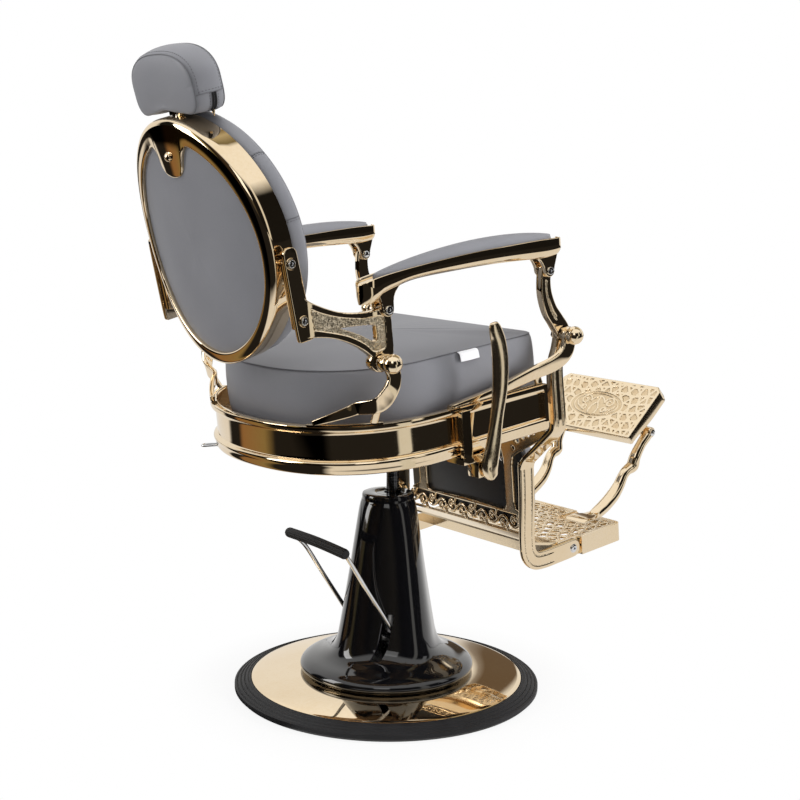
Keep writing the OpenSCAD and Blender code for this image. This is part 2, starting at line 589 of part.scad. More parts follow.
// Point on the back: ellipse of half axes a and b, s0 up the slope, at depth d forward
function back_point(t, a, b, s0, d) = [a * cos(t), -(d + bend(a * cos(t))), s0 + b * sin(t)];
back_steps = 56;
ring_w = 23;
opening_a = back_a - ring_w;
opening_b = back_b - 32;
opening_s = -7.6;
module back_shell() color(gold) in_seat() difference() {
  in_back() back_dish();
  in_back() translate([-stem_w / 2 - soft_clear, -guide_mid - stem_t / 2 - soft_clear, back_b - 30])
    cube([stem_w + 2 * soft_clear, stem_t + 2 * soft_clear, 40]);
  both_sides() for (p = casting_screw_at) pin(back_a - 20, back_a + 10, p[0], p[1], casting_screw_r + 0.2);
}
module back_dish() {
  w = 3;
  section = [[back_a - 5, back_b - 5, 0, 0], [back_a, back_b, 0, 6], [back_a, back_b, 0, shell_d],
    [back_a - w, back_b - w, 0, shell_d], [back_a - w, back_b - w, 0, 9],
    [opening_a, opening_b, opening_s, 9], [opening_a, opening_b, opening_s, 2],
    [opening_a + 4, opening_b + 4, opening_s, 0]];
  ring_loop([for (k = [0 : back_steps - 1]) [for (q = section)
    back_point(360 * k / back_steps, q[0], q[1], q[2], q[3])]]);
  // tongue that covers the headrest guide
  translate([0, -1, 0]) rotate([90, 0, 0]) linear_extrude(7) difference() {
    polygon(concat([[-64, opening_s + opening_b + 6]], smooth([[-64, 178], [-44, 172], [-33, 150],
      [-24, 133], [0, 126], [24, 133], [33, 150], [44, 172], [64, 178]], 3), [[64, opening_s + opening_b + 6]]));
    translate([0, 165]) circle(r = 4.2, $fn = fine);
  }
}
module back_panel() color(leather) in_seat() in_back() {
  a = opening_a + 12;
  b = opening_b + 12;
  front = shell_d - 24.5;
  rear = 9 + soft_clear;
  rings = concat([for (s = [0.35, 0.7, 1]) [for (k = [0 : 39]) back_point(360 * k / 40, a * s, b * s, opening_s, rear)]],
    [for (s = [1, 0.7, 0.35]) [for (k = [0 : 39]) back_point(360 * k / 40, a * s, b * s, opening_s, front)]]);
  difference() {
    ring_stack(rings, [0, -rear, opening_s], [0, -front, opening_s]);
    translate([-stem_w / 2 - 6, -front - 3, guide_low - 12]) cube([stem_w + 12, front - rear + 12, 200]);
  }
}
module back_cushion() color(leather) in_seat() in_back() {
  a = back_a - 4;
  b = back_b - 4;
  d0 = shell_d - 21.5;
  // half-axis drawn in, depth
  side = [[6, d0], [0.4, shell_d - 8], [0, shell_d + 0.3]];
  rim = [[-4, shell_d + 0.6], [-6, shell_d + 10], [-5, shell_d + 22], [2, shell_d + 31], [12, shell_d + 36]];
  crown = [for (s = [0.84, 0.66, 0.44, 0.22]) [s, shell_d + 36 + (back_pad - 36) * (1 - pow(s, 2.2))]];
  rings = concat(
    [for (r = [[0.5, d0]]) [for (k = [0 : 43]) back_point(360 * k / 44, a * r[0], b * r[0], 0, r[1])]],
    [for (r = side) [for (k = [0 : 43]) back_point(360 * k / 44, a - r[0], b - r[0], 0, r[1])]],
    [for (r = rim) [for (k = [0 : 43]) lower_in(back_point(360 * k / 44, a - r[0], b - r[0], 0, r[1]))]],
    [for (r = crown) [for (k = [0 : 43]) lower_in(back_point(360 * k / 44, (a - 12) * r[0], (b - 12) * r[0], 0, r[1]))]]);
  difference() {
    ring_stack(rings, [0, -d0, 0], [0, -shell_d - back_pad, 0]);
    // pocket for the headrest guide and stem
    translate([-stem_w / 2 - 6, -guide_mid - stem_t / 2 - 5, guide_low - 12]) cube([stem_w + 12, 30, 200]);
  }
}
// The lower end of the cushion is thinner, to clear the seat when the back goes down
function lower_in(p) = let (t = max(0, (-p[2] - 0.62 * back_b) / (0.38 * back_b)))
  [p[0], p[1] + t * t * max(0, -p[1] - shell_d - bend(p[0]) - 14) * 0.9, p[2] + t * t * 6];

strip_x = back_a + 24;       // outer face of the strap beside the shell
strip_t = 8;
strip_low = [347, 281];      // ends of the strap's middle line, in (u, v)
strip_high = [364, 424];
// Side casting: strap on the shell, bent outwards into the pierced arm that ends at the pivots
arm_rear_pin = [215.6, arm_pin_v - 4];
module back_casting(side) color(gold) in_seat() scale_side(side) difference() {
  union() {
    plate(strip_x - strip_t / 2, strip_t) polygon(bar_outline([[strip_low[0] - 1, strip_low[1] - 6, 17],
      [strip_low[0], strip_low[1], 17], [strip_high[0], strip_high[1], 14.5], [strip_high[0] + 1, strip_high[1] + 8, 9]]));
    // pad between the strap and the curved side of the shell
    translate([back_a + 3, strip_low[0] - 8, strip_low[1] + 4]) rotate([-6.8, 0, 0])
      cube([strip_x - strip_t - back_a - 3 + tiny, 24, 128]);
    intersection() {
      arm_wall();
      translate([strip_x - 40, 0, 0]) rotate([90, 0, 90]) linear_extrude(120) polygon(arm_outline);
    }
    pin(casting_x - casting_t / 2, casting_x + casting_t / 2, rear_pivot[0], rear_pivot[1], 19);
    pin(casting_x - casting_t / 2, casting_x + casting_t / 2, arm_rear_pin[0], arm_rear_pin[1], 13);
  }
  pin(0, 400, rear_pivot[0], rear_pivot[1], pivot_r + run_clear);
  pin(casting_x - casting_t / 2 - 30, casting_x - casting_t / 2, rear_pivot[0], rear_pivot[1], pivot_r * 1.7 + 4);
  pin(0, 400, arm_rear_pin[0], arm_rear_pin[1], arm_pin_r + run_clear);
  for (p = casting_screw_at) pin(back_a - 20, strip_x + 1, p[0], p[1], casting_screw_r + 0.2);
}
casting_screw_at = [[365, 407], [349, 303]];
casting_screw_r = 4;
// Plan of the arm: flat beside the pivots, then slanting in to the strap
module arm_wall() {
  o = casting_x + casting_t / 2;
  i = casting_x - casting_t / 2;
  translate([0, 0, 180]) linear_extrude(200) polygon([[i, 190], [o, 190], [o, 236], [strip_x, 336], [strip_x, 366],
    [strip_x - strip_t, 366], [strip_x - strip_t, 330], [i, 232]]);
}
arm_outline = concat(
  smooth([[366, 268], [345, 272], [308, 267], [284, 257], [262, 241], [246, 222], [240, 205]], 3),
  [[222, 200], [205, 225], [204, 270], [206, 300], [222, 312]],
  smooth([[238, 309], [262, 307.5], [293, 313], [324, 329], [348, 347], [366, 372]], 3));
window = smooth([[290, 283], [262, 284], [240, 282], [236, 275], [235, 262], [237, 253], [243, 254],
  [262, 268], [290, 283]], 2);
module back_casting_cut(side) color(gold) difference() {
  back_casting(side);
  in_seat() scale_side(side) translate([strip_x - 60, 0, 0]) rotate([90, 0, 90]) linear_extrude(160) polygon(window);
}
module back_casting_right() back_casting_cut(-1);
module back_casting_left() back_casting_cut(1);
module casting_screws() color(steel) in_seat() both_sides() for (p = casting_screw_at) difference() {
  union() {
    pin(back_a - 10, strip_x, p[0], p[1], casting_screw_r);
    pin(strip_x, strip_x + 4, p[0], p[1], 7);
  }
  translate([strip_x + 2, p[0], p[1]]) rotate([0, 90, 0]) cylinder(r = 3.2, h = 4, $fn = 6);
}

// ---- headrest ----

stem_w = 24;
stem_t = 6;
guide_low = 105;
module headrest_guide() color(steel) in_seat() in_back() difference() {
  translate([-stem_w / 2 - 4, -guide_mid - stem_t / 2 - 3, guide_low]) cube([stem_w + 8, stem_t + 6, back_b - guide_low - 4]);
  translate([-stem_w / 2 - 0.1, -guide_mid - stem_t / 2 - 0.1, guide_low - 1]) cube([stem_w + 0.2, stem_t + 0.2, 200]);
}
guide_mid = 32;
module guide_screw() color(gold) in_seat() in_back() {
  translate([0, 5.5, 165]) rotate([90, 0, 0]) cylinder(r = 4, h = 14, $fn = fine);
  difference() {
    translate([0, 0, 165]) sphere(r = 9);
    translate([-20, -21, 145]) cube([40, 20, 40]);
  }
}
head_low = back_b + head_gap;
module headrest_stem() color(steel) in_seat() in_back() {
  translate([-stem_w / 2, -guide_mid - stem_t / 2, head_low - head_travel - 20])
    cube([stem_w, stem_t, head_travel + 20 + 60]);
}
// Outline of the pad: arched top, square lower corners and a hollowed lower edge
function head_point(t, q, d) = let (c = cos(t), w = sin(t), n = w > 0 ? 2.4 : 4.2)
  [head_half_w * q * power(c, n), head_back - d,
    head_low + head_h / 2 * (1 + q * (power(w, n) + (w > 0 ? 0 : 0.2 * max(0, 1 - abs(c) * 1.4))))];
head_rows = [[0.62, 0], [0.93, 0.02], [1, 0.12], [1.02, 0.3], [1.02, 0.55], [0.97, 0.78], [0.86, 0.92], [0.6, 1]];
module headrest_cushion() color(leather) in_seat() in_back() difference() {
  ring_stack([for (q = head_rows) [for (k = [0 : 39]) head_point(9 * k, q[0], head_t * q[1])]],
    [0, head_back, head_low + head_h / 2], [0, head_back - head_t, head_low + head_h / 2]);
  translate([-stem_w / 2 - 0.2, -guide_mid - stem_t / 2 - 0.2, head_low - 5]) cube([stem_w + 0.4, stem_t + 0.4, 65.2]);
}
head_back = -22;
// Zip in the side of the cover
module headrest_zip() color(rubber) in_seat() in_back()
  flat_bar([for (t = [186 : 6 : 222]) let (q = head_point(t, 1.02, head_t * 0.45)) [q[0] - 1.3, q[1], q[2], 3, 180]], 1.4);

// ---- armrests ----

arm_x = casting_x;
arm_front_pin = [-187.8, arm_pin_v + 4];
arm_low = 350;       // underside of the armrest frame
ear_t = 8;
arm_front_u = -216;
arm_rear_u = 268;
// Plan of the frame: widest near the front, drawn in to a round nose at the rear
function arm_plan(inset) = concat(
  [for (a = [0 : 15 : 180]) [(21 - inset) * cos(a), arm_rear_u - 24 + (24 - inset) * sin(a)]],
  [[-24 + inset, 120], [-arm_half_w + inset, -60], [-arm_half_w + inset, arm_front_u + 20]],
  [for (a = [180 : 18 : 360]) [(arm_half_w - inset) * power(cos(a), 3), arm_front_u + 16 + (16 - inset) * power(sin(a), 3)]],
  [[arm_half_w - inset, -60], [24 - inset, 120]]);
arm_side = concat(smooth([[arm_front_u, arm_low + 2], [-150, arm_low - 5], [-50, arm_low], [50, arm_low + 2],
  [150, arm_low + 1], [200, arm_low - 8], [arm_rear_u - 2, arm_low - 12]], 3),
  smooth([[arm_rear_u + 2, arm_low + 4], [arm_rear_u - 6, arm_low + 15], [200, arm_low + arm_frame_h - 6],
  [100, arm_low + arm_frame_h], [0, arm_low + arm_frame_h + 3], [-100, arm_low + arm_frame_h + 3],
  [arm_front_u, arm_low + arm_frame_h]], 3));
// Ear of a clevis: pin eye with a web that widens up to the frame
module ear(x, at, u0, u1, v1) {
  plate(x, ear_t) polygon([[at[0] + 11, at[1] - 5], [u0, v1], [u1, v1], [at[0] - 11, at[1] - 5]]);
  pin(x - ear_t / 2, x + ear_t / 2, at[0], at[1], 12);
}
ear_off = casting_t / 2 + side_clear + ear_t / 2;
module armrest_frame(side) color(gold) in_seat() scale_side(side) difference() {
  union() {
    intersection() {
      translate([arm_x, 0, 0]) linear_extrude(600) polygon(arm_plan(0));
      plate(arm_x, 80) polygon(arm_side);
    }
    for (s = [-1, 1]) {
      ear(arm_x + s * ear_off, arm_rear_pin, 240, 184, arm_low - 3);
      ear(arm_x + s * ear_off, arm_front_pin, -150, -212, arm_low);
    }
  }
  pin(0, 400, arm_rear_pin[0], arm_rear_pin[1], arm_pin_r);
  pin(0, 400, arm_front_pin[0], arm_front_pin[1], arm_pin_r);
  // hollow that the pad sits in
  intersection() {
    translate([arm_x, 0, 0]) linear_extrude(600) polygon(arm_plan(4));
    translate([0, 0, arm_frame_h - 9]) plate(arm_x, 80) polygon(concat([for (p = smooth([[arm_front_u + 6, arm_low],
      [-150, arm_low + 1], [-50, arm_low + 2], [50, arm_low + 1], [150, arm_low - 3], [238, arm_low - 10]], 3)) p],
      [[238, arm_low + 60], [arm_front_u + 6, arm_low + 60]]));
  }
}
module armrest_frame_right() armrest_frame(-1);
module armrest_frame_left() armrest_frame(1);
// The pad swells along its length and across it, and tapers to both ends
function pad_len(k) = mix(arm_front_u + 9, 232, k);
function pad_w(k) = (mix(arm_half_w, 22, pow(k, 1.4)) - 4.5) * sqrt(max(0.02, 1 - pow(abs(2 * k - 1), 7)));
function pad_h(k) = arm_crown * pow(sin(180 * pow(mix(0.03, 0.97, k), 0.82)), 0.72);
function pad_base(k) = arm_low + arm_frame_h - 8.5 + 2.5 * sin(180 * k) - 8 * pow(k, 3);
module armrest_pad(side) color(leather) in_seat() scale_side(side) translate([arm_x, 0, 0]) {
  n = 16;
  rows = [0, 0.03, 0.08, 0.16, 0.26, 0.38, 0.5, 0.62, 0.74, 0.84, 0.92, 0.97, 1];
  rings = [for (k = rows) [for (i = [0 : n - 1]) let (a = 360 * i / n, c = cos(a), s = sin(a))
    [pad_w(k) * power(c, 2.4), pad_len(k), pad_base(k) + (s > 0 ? (pad_h(k) + 8) * power(s, 2.2) : -power(-s, 4) * 0.1)]]];
  ring_stack([for (r = rings) [for (i = [len(r) - 1 : -1 : 0]) r[i]]],
    [0, pad_len(0), pad_base(0) + 2], [0, pad_len(1), pad_base(1) + 2]);
}
module armrest_pad_right() armrest_pad(-1);
module armrest_pad_left() armrest_pad(1);
module armrest_pins(side) color(steel) in_seat() scale_side(side) for (at = [arm_rear_pin, arm_front_pin]) difference() {
  union() {
    pin(arm_x - ear_off - ear_t / 2 - 2, arm_x + ear_off + ear_t / 2, at[0], at[1], arm_pin_r);
    pin(arm_x + ear_off + ear_t / 2, arm_x + ear_off + ear_t / 2 + 3, at[0], at[1], arm_pin_r + 2.5);
    pin(arm_x - ear_off - ear_t / 2 - 3, arm_x - ear_off - ear_t / 2, at[0], at[1], arm_pin_r + 2.5);
  }
  translate([arm_x + ear_off + ear_t / 2 + 1, at[0], at[1]]) rotate([0, 90, 0]) cylinder(r = 2.8, h = 5, $fn = 6);
}
module armrest_pins_right() armrest_pins(-1);
module armrest_pins_left() armrest_pins(1);

// ---- legrest ----

leg_bend_v = -5;      // where the leg bar turns inwards under the seat
leg_in_v = -95;       // where it turns down again
leg_foot = [-309, -307];
post_route = [[arm_front_pin[0], arm_front_pin[1], 11], [-184.5, 296, 12.5], [-185, 268, 14], [-195, 236, 15.5],
  [-212, 210, 16.5], [front_pivot[0] - 1, front_pivot[1] + 3, 17.5], [-217, 156, 16], [-205, 130, 14.5],
  [-200, 100, 14.5], [-201, 45, 14.5], [-201, leg_bend_v, 14.5]];
module leg_casting(side) color(gold) in_seat() scale_side(side) difference() {
  w = leg_w / 2;
  union() {
    plate(casting_x, casting_t) polygon(bar_outline(smooth(post_route, 4)));
    pin(casting_x - casting_t / 2, casting_x + casting_t / 2, arm_front_pin[0], arm_front_pin[1], 13);
    pin(casting_x - casting_t / 2, casting_x + casting_t / 2, front_pivot[0], front_pivot[1], 18);
    hull() {
      translate([casting_x - casting_t / 2, -215.5, leg_bend_v]) cube([casting_t, 29, 1]);
      translate([leg_half_w - leg_t / 2, -189 - w, leg_in_v - 1]) cube([leg_t, 2 * w, 1]);
    }
    plate(leg_half_w, leg_t) polygon(bar_outline(smooth([
      [-189, leg_in_v, w], [-187, -150, w], [-182, -220, w], [-180, -262, w], [-183, -286, w],
      [-198, -303, w], [-225, leg_foot[1] - 1, w], [-265, leg_foot[1] - 1, w], [leg_foot[0], leg_foot[1], w]], 4)));
    pin(leg_half_w - leg_t / 2, leg_half_w + leg_t / 2, leg_foot[0], leg_foot[1], w);
  }
  pin(0, 400, arm_front_pin[0], arm_front_pin[1], arm_pin_r + link_play);
  pin(0, 400, front_pivot[0], front_pivot[1], pivot_r + run_clear);
  pin(leg_half_w - 20, leg_half_w + 20, leg_foot[0], leg_foot[1], 4.2);
}
module leg_casting_right() leg_casting(-1);
module leg_casting_left() leg_casting(1);

leg_inner = leg_half_w - leg_t / 2;
// Pierced frame behind the calves: lower rail between the leg bars, stiles and upper wings
calf_low = -256;
calf_u = -201;
calf_t = 6;
rail_h = 46;          // height of the pierced lower rail
stile_in = 128;       // opening of the frame, either side of the middle
stile_out = 153;
calf_side = leg_inner - soft_clear;
wing_low = -62;
module calf_frame() color(gold) in_seat() slab(calf_u, calf_u + calf_t) difference() {
  polygon(concat([[-calf_side, calf_low - 10], [-calf_side + 24, calf_low], [calf_side - 24, calf_low],
    [calf_side, calf_low - 10], [calf_side, calf_low + rail_h - 22], [calf_side - 20, calf_low + rail_h + 2],
    [stile_out, calf_low + rail_h + 14], [stile_out, wing_low - 46]],
    smooth([[stile_out + 6, wing_low - 22], [stile_out + 30, wing_low - 8], [leg_inner + 22, wing_low + 12],
      [casting_x - 30, wing_low + 34]], 3), [[casting_x - 30, -14], [-casting_x + 30, -14]],
    smooth([[-casting_x + 30, wing_low + 34], [-leg_inner - 22, wing_low + 12], [-stile_out - 30, wing_low - 8],
      [-stile_out - 6, wing_low - 22]], 3), [[-stile_out, wing_low - 46], [-stile_out, calf_low + rail_h + 14],
    [-calf_side + 20, calf_low + rail_h + 2], [-calf_side, calf_low + rail_h - 22]]));
  // opening behind the calf board
  polygon(concat(smooth([[-stile_in, calf_low + rail_h + 12], [-stile_in + 12, calf_low + rail_h + 2],
    [-60, calf_low + rail_h + 4], [0, calf_low + rail_h + 6], [60, calf_low + rail_h + 4],
    [stile_in - 12, calf_low + rail_h + 2], [stile_in, calf_low + rail_h + 12]], 2),
    smooth([[stile_in, wing_low - 46], [stile_in - 8, wing_low - 8], [stile_in - 34, wing_low + 20],
      [stile_in - 70, wing_low + 30]], 3), smooth([[-stile_in + 70, wing_low + 30], [-stile_in + 34, wing_low + 20],
      [-stile_in + 8, wing_low - 8], [-stile_in, wing_low - 46]], 3)));
  // pierced lower rail
  for (i = [-5 : 5]) translate([i * 31, calf_low + 24 + (i % 2 == 0 ? 3 : -3)]) {
    translate([0, 8]) circle(r = 6.5, $fn = fine);
    translate([-9, -8]) circle(r = 4.5, $fn = fine);
    translate([9, -8]) circle(r = 4.5, $fn = fine);
  }
  both_sides() for (k = [0 : 2]) translate([stile_out + 22 + 24 * k, wing_low + 16 + 10 * k]) circle(r = 5.5, $fn = fine);
}
board_side = 184;
module calf_shape(inset) polygon(concat(
  [[-board_side + inset, calf_low + 14 + inset], [board_side - inset, calf_low + 14 + inset]],
  smooth([[board_side - inset, -110], [board_side - inset - 6, -76], [board_side - inset - 34, -46 - inset],
    [board_side - inset - 74, -36 - inset]], 3),
  smooth([[-board_side + inset + 74, -36 - inset], [-board_side + inset + 34, -46 - inset],
    [-board_side + inset + 6, -76], [-board_side + inset, -110]], 3)));
calf_board_t = 10;
module calf_board() color(gloss_black) in_seat()
  slab(calf_u - calf_board_t - soft_clear, calf_u - soft_clear) calf_shape(0);
module calf_cushion() color(leather) in_seat() {
  w = board_side - 3;
  v0 = calf_low + 17;
  v1 = -39;
  mid = (v0 + v1) / 2;
  half = (v1 - v0) / 2;
  u0 = calf_u - calf_board_t - 2 * soft_clear;
  rings = [for (q = [[0.5, 0], [0.97, 0], [1, 6], [1.005, 14], [0.975, 22], [0.88, 28], [0.62, 33], [0.3, 36]])
    [for (k = [0 : 35]) let (t = 10 * k) [w * q[0] * power(cos(t), 5), u0 - q[1], mid + half * q[0] * power(sin(t), 5)]]];
  ring_stack([for (r = rings) r], [0, u0, mid], [0, u0 - 37, mid]);
}

tray_top = -286;
tray_t = 5;
tray_back = -268;
tray_side = leg_inner - soft_clear;
yoke_gap = 70;        // width of the cut-outs for the feet of the yoke
module footrest_tray() color(gold) in_seat() difference() {
  union() {
    // pierced top
    translate([0, 0, tray_top - tray_t]) linear_extrude(tray_t) difference() {
      polygon([[-tray_side, tray_back], [tray_side, tray_back], [tray_side, -tray_front], [-tray_side, -tray_front]]);
      for (i = [-5 : 5]) for (j = [0 : 3]) if (abs(i) < 2 || j < 2)
        translate([i * 33 + (j % 2 == 0 ? 5 : -5), tray_back - 32 - j * 38]) rotate(i * 20 + j * 35)
          translate([-9, -5]) square([18, 10]);
    }
    // box skirt, wider forward of the ends of the leg bars
    translate([0, 0, tray_top - tray_d]) linear_extrude(tray_d - tiny) difference() {
      union() {
        polygon([[-tray_side, tray_back], [tray_side, tray_back], [tray_side, -tray_front], [-tray_side, -tray_front]]);
        polygon([[-tray_outer, tray_step], [tray_outer, tray_step], [tray_outer, -tray_front], [-tray_outer, -tray_front]]);
      }
      polygon([[-tray_side + 4, tray_back - 4], [tray_side - 4, tray_back - 4],
        [tray_side - 4, -tray_front + 4], [-tray_side + 4, -tray_front + 4]]);
    }
    // sloping rear panel up to the calf frame
    plate(0, 2 * tray_side) polygon([[tray_back - 5, tray_top - tray_t], [tray_back, tray_top - tray_t],
      [calf_u + 4, calf_low - 14], [calf_u + 4, calf_low - 10 - soft_clear], [calf_u - 1, calf_low - 10 - soft_clear],
      [tray_back - 5, tray_top]]);
  }
  both_sides() pin(tray_side - 20, tray_side + 1, leg_foot[0], leg_foot[1], 4.2);
  pin(-400, 400, yoke_axis[0], yoke_axis[1], 5 + run_clear);
  // recesses for the feet of the yoke
  both_sides() translate([yoke_x - yoke_gap / 2, -tray_front - 1, tray_top - tray_d + 8])
    cube([yoke_gap, 50, tray_d]);
}
tray_step = leg_foot[0] - leg_w / 2 - 2.5;
tray_outer = leg_half_w + leg_t / 2;
module tray_screws() color(steel) in_seat() both_sides() difference() {
  union() {
    pin(tray_side - 14, tray_outer, leg_foot[0], leg_foot[1], 4);
    pin(tray_outer, tray_outer + 3, leg_foot[0], leg_foot[1], 8);
  }
  translate([tray_outer + 1, leg_foot[0], leg_foot[1]]) rotate([0, 90, 0]) cylinder(r = 3.4, h = 5, $fn = 6);
}

// ---- folding step ----

yoke_x = 115;
yoke_axis = [-tray_front + 17, tray_top - 14];
step_pin = [-648, -139];
step_pin_x = 128;
module yoke_rod() color(steel) in_seat() pin(-tray_outer + 1, tray_outer - 1, yoke_axis[0], yoke_axis[1], 5);
// Each arm rises from the tray with a double bend
yoke_route = [[yoke_x, yoke_axis[0], yoke_axis[1] + 4], [yoke_x, -476, -293], [yoke_x, -504, -280],
  [yoke_x, -531, -263], [yoke_x + 1, -550, -247], [yoke_x + 3, -566, -226], [yoke_x + 6, -597, -210],
  [yoke_x + 9, -603, -188], [yoke_x + 12, -622, -164], [step_pin_x, step_pin[0], step_pin[1]]];
module step_yoke() color(gold) in_seat() both_sides() difference() {
  union() {
    tube(smooth(yoke_route, 3), yoke_r, [1, 0, 0], 12);
    pin(yoke_x - yoke_gap / 2 + side_clear, yoke_x + yoke_gap / 2 - side_clear, yoke_axis[0], yoke_axis[1], 11);
    translate([yoke_x - yoke_gap / 2 + side_clear, -tray_front - 3, yoke_axis[1] - 4])
      cube([yoke_gap - 2 * side_clear, 20, 14]);
    pin(step_pin_x - 10, step_pin_x + 10, step_pin[0], step_pin[1], 12);
  }
  pin(0, 400, yoke_axis[0], yoke_axis[1], 5 + run_clear);
  pin(0, 400, step_pin[0], step_pin[1], 5 + run_clear);
}
step_lean = 36.3;
step_back_edge = [-553, -128];
// Frame of the step plate: y runs forward and up the plate, z out of its top
module in_step() { translate([0, step_back_edge[0], step_back_edge[1]]) rotate([-step_lean, 0, 0]) children(); }
step_d = 24;
// Point in the middle of the plate's thickness, at u
function step_under(u) = [u, step_back_edge[1] + (step_back_edge[0] - u) * tan(step_lean) - 3];
module step_plate() color(gold) in_seat() {
  in_step() difference() {
    chamfer = 13;
    translate([0, 0, -step_d]) linear_extrude(step_d) polygon([[-step_half_w, 0], [step_half_w, 0],
      [step_half_w, -step_len + chamfer], [step_half_w - chamfer, -step_len], [-step_half_w + chamfer, -step_len],
      [-step_half_w, -step_len + chamfer]]);
    translate([-step_half_w + 4, -step_len + 4, -step_d - 1]) cube([2 * step_half_w - 8, step_len - 8, step_d - 4]);
    // sunk oval line in the middle of the plate
    translate([0, -step_len / 2, -2]) linear_extrude(3) difference() {
      scale([1, 0.5]) circle(r = 62);
      scale([1, 0.5]) circle(r = 54);
    }
  }
  // lugs down to the yoke
  both_sides() difference() {
    union() {
      plate(step_pin_x - 10 - side_clear - 4, 8) polygon([[step_pin[0] + 11, step_pin[1] - 5], step_under(step_pin[0] + 45),
        step_under(step_pin[0] - 4), [step_pin[0] - 11, step_pin[1] - 5]]);
      pin(step_pin_x - 18 - side_clear, step_pin_x - 10 - side_clear, step_pin[0], step_pin[1], 12);
    }
    pin(0, 400, step_pin[0], step_pin[1], 5);
  }
}
module step_rod() color(steel) in_seat() {
  pin(-step_pin_x - 10, step_pin_x + 10, step_pin[0], step_pin[1], 5);
  both_sides() pin(step_pin_x + 10 + side_clear, step_pin_x + 14, step_pin[0], step_pin[1], 7.5);
  both_sides() pin(step_pin_x + 8, step_pin_x + 12, step_pin[0], step_pin[1], 5);
}

base_rim();
base_disc();
column_cover();
cover_collar();
pump_cylinder();
base_bolts();
pump_rocker();
pump_lever();
pump_grip();
piston_rod();
swivel_bearing();
seat_mount();
seat_band();
side_rails();
front_rail();
seat_board();
seat_cushion();
rear_bracket_right();
rear_bracket_left();
front_bracket_right();
front_bracket_left();
rear_pivots();
front_pivots();
lever_bracket();
lever_bolts();
recline_lever();
recline_lock();
mount_bolts();
strap_hook();
blank_tag();
back_shell();
back_panel();
back_cushion();
back_casting_right();
back_casting_left();
casting_screws();
headrest_guide();
guide_screw();
headrest_stem();
headrest_cushion();
headrest_zip();
armrest_frame_right();
armrest_frame_left();
armrest_pad_right();
armrest_pad_left();
armrest_pins_right();
armrest_pins_left();
leg_casting_right();
leg_casting_left();
calf_frame();
calf_board();
calf_cushion();
footrest_tray();
tray_screws();
yoke_rod();
step_yoke();
step_plate();
step_rod();
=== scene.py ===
import math
import bmesh
import bpy
import numpy as np
from mathutils import Matrix, Vector


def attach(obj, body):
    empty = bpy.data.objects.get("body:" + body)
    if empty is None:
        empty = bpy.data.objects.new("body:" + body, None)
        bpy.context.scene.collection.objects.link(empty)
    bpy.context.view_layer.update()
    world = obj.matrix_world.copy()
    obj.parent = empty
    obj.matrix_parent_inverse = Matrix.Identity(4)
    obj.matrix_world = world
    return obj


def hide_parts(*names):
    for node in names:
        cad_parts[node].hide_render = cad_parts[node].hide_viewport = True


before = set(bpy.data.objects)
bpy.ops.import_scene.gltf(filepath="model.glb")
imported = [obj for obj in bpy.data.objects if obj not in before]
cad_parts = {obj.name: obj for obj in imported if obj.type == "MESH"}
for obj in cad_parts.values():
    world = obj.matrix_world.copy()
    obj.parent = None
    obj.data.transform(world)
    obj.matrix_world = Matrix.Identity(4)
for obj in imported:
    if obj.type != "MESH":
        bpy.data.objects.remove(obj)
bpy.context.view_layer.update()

# ---- Camera, floor and lights ----
# A white studio sweep: the floor is white out to a few metres and the room behind is dark, so
# polished metal picks up pale ground, dark walls and the soft boxes and patches between them.


def added(name, data):
    """New object for data, linked to the scene."""
    o = bpy.data.objects.new(name, data)
    bpy.context.scene.collection.objects.link(o)
    return o


# the camera stands at the sitter's rear right, a little above armrest height
eye = Vector((-2.3311, 1.8861, 1.1016))
heading, dip, roll = math.radians(50.59), math.radians(9.27), math.radians(0.62)
forward = Vector((math.sin(heading) * math.cos(dip), -math.cos(heading) * math.cos(dip), -math.sin(dip)))
level = forward.cross(Vector((0, 0, 1))).normalized()
upright = level.cross(forward)
right = math.cos(roll) * level + math.sin(roll) * upright
up = -math.sin(roll) * level + math.cos(roll) * upright
camera_data = bpy.data.cameras.new("camera")
camera_data.sensor_width, camera_data.lens, camera_data.clip_end = 36, 66.45, 50
camera = added("camera", camera_data)
camera.matrix_world = Matrix.Translation(eye) @ Matrix((right, up, -forward)).transposed().to_4x4()
bpy.context.scene.camera = camera
bpy.context.scene.view_settings.view_transform = "Standard"


def node(tree, kind, inputs=None, **settings):
    """Adds a shader or geometry node; inputs are values or sockets to link from."""
    n = tree.nodes.new(kind)
    for key, value in settings.items():
        setattr(n, key, value)
    for key, value in (inputs or {}).items():
        socket = n.inputs[key]
        if isinstance(value, bpy.types.NodeSocket):
            tree.links.new(value, socket)
        else:
            socket.default_value = value
    return n


def maths(tree, operation, a, b=0.0, c=None):
    inputs = {0: a, 1: b} if c is None else {0: a, 1: b, 2: c}
    return node(tree, "ShaderNodeMath", inputs, operation=operation).outputs[0]


def ramp(tree, value, stops):
    """Ramp through (position, colour) stops; a single number stands for a grey."""
    n = node(tree, "ShaderNodeValToRGB", {"Fac": value})
    marks = n.color_ramp.elements
    marks[0].position, marks[1].position = stops[0][0], stops[-1][0]
    for at, _ in stops[1:-1]:
        marks.new(at)
    for mark, (_, colour) in zip(marks, stops):
        mark.color = (*(colour if isinstance(colour, tuple) else (colour,) * 3), 1)
    return n.outputs[0]


def blend(tree, share, a, b, **settings):
    return node(tree, "ShaderNodeMixRGB", {"Fac": share, "Color1": a, "Color2": b}, **settings).outputs[0]


def switch(tree, share, a, b):
    return node(tree, "ShaderNodeMixShader", {"Fac": share, 1: a, 2: b}).outputs[0]


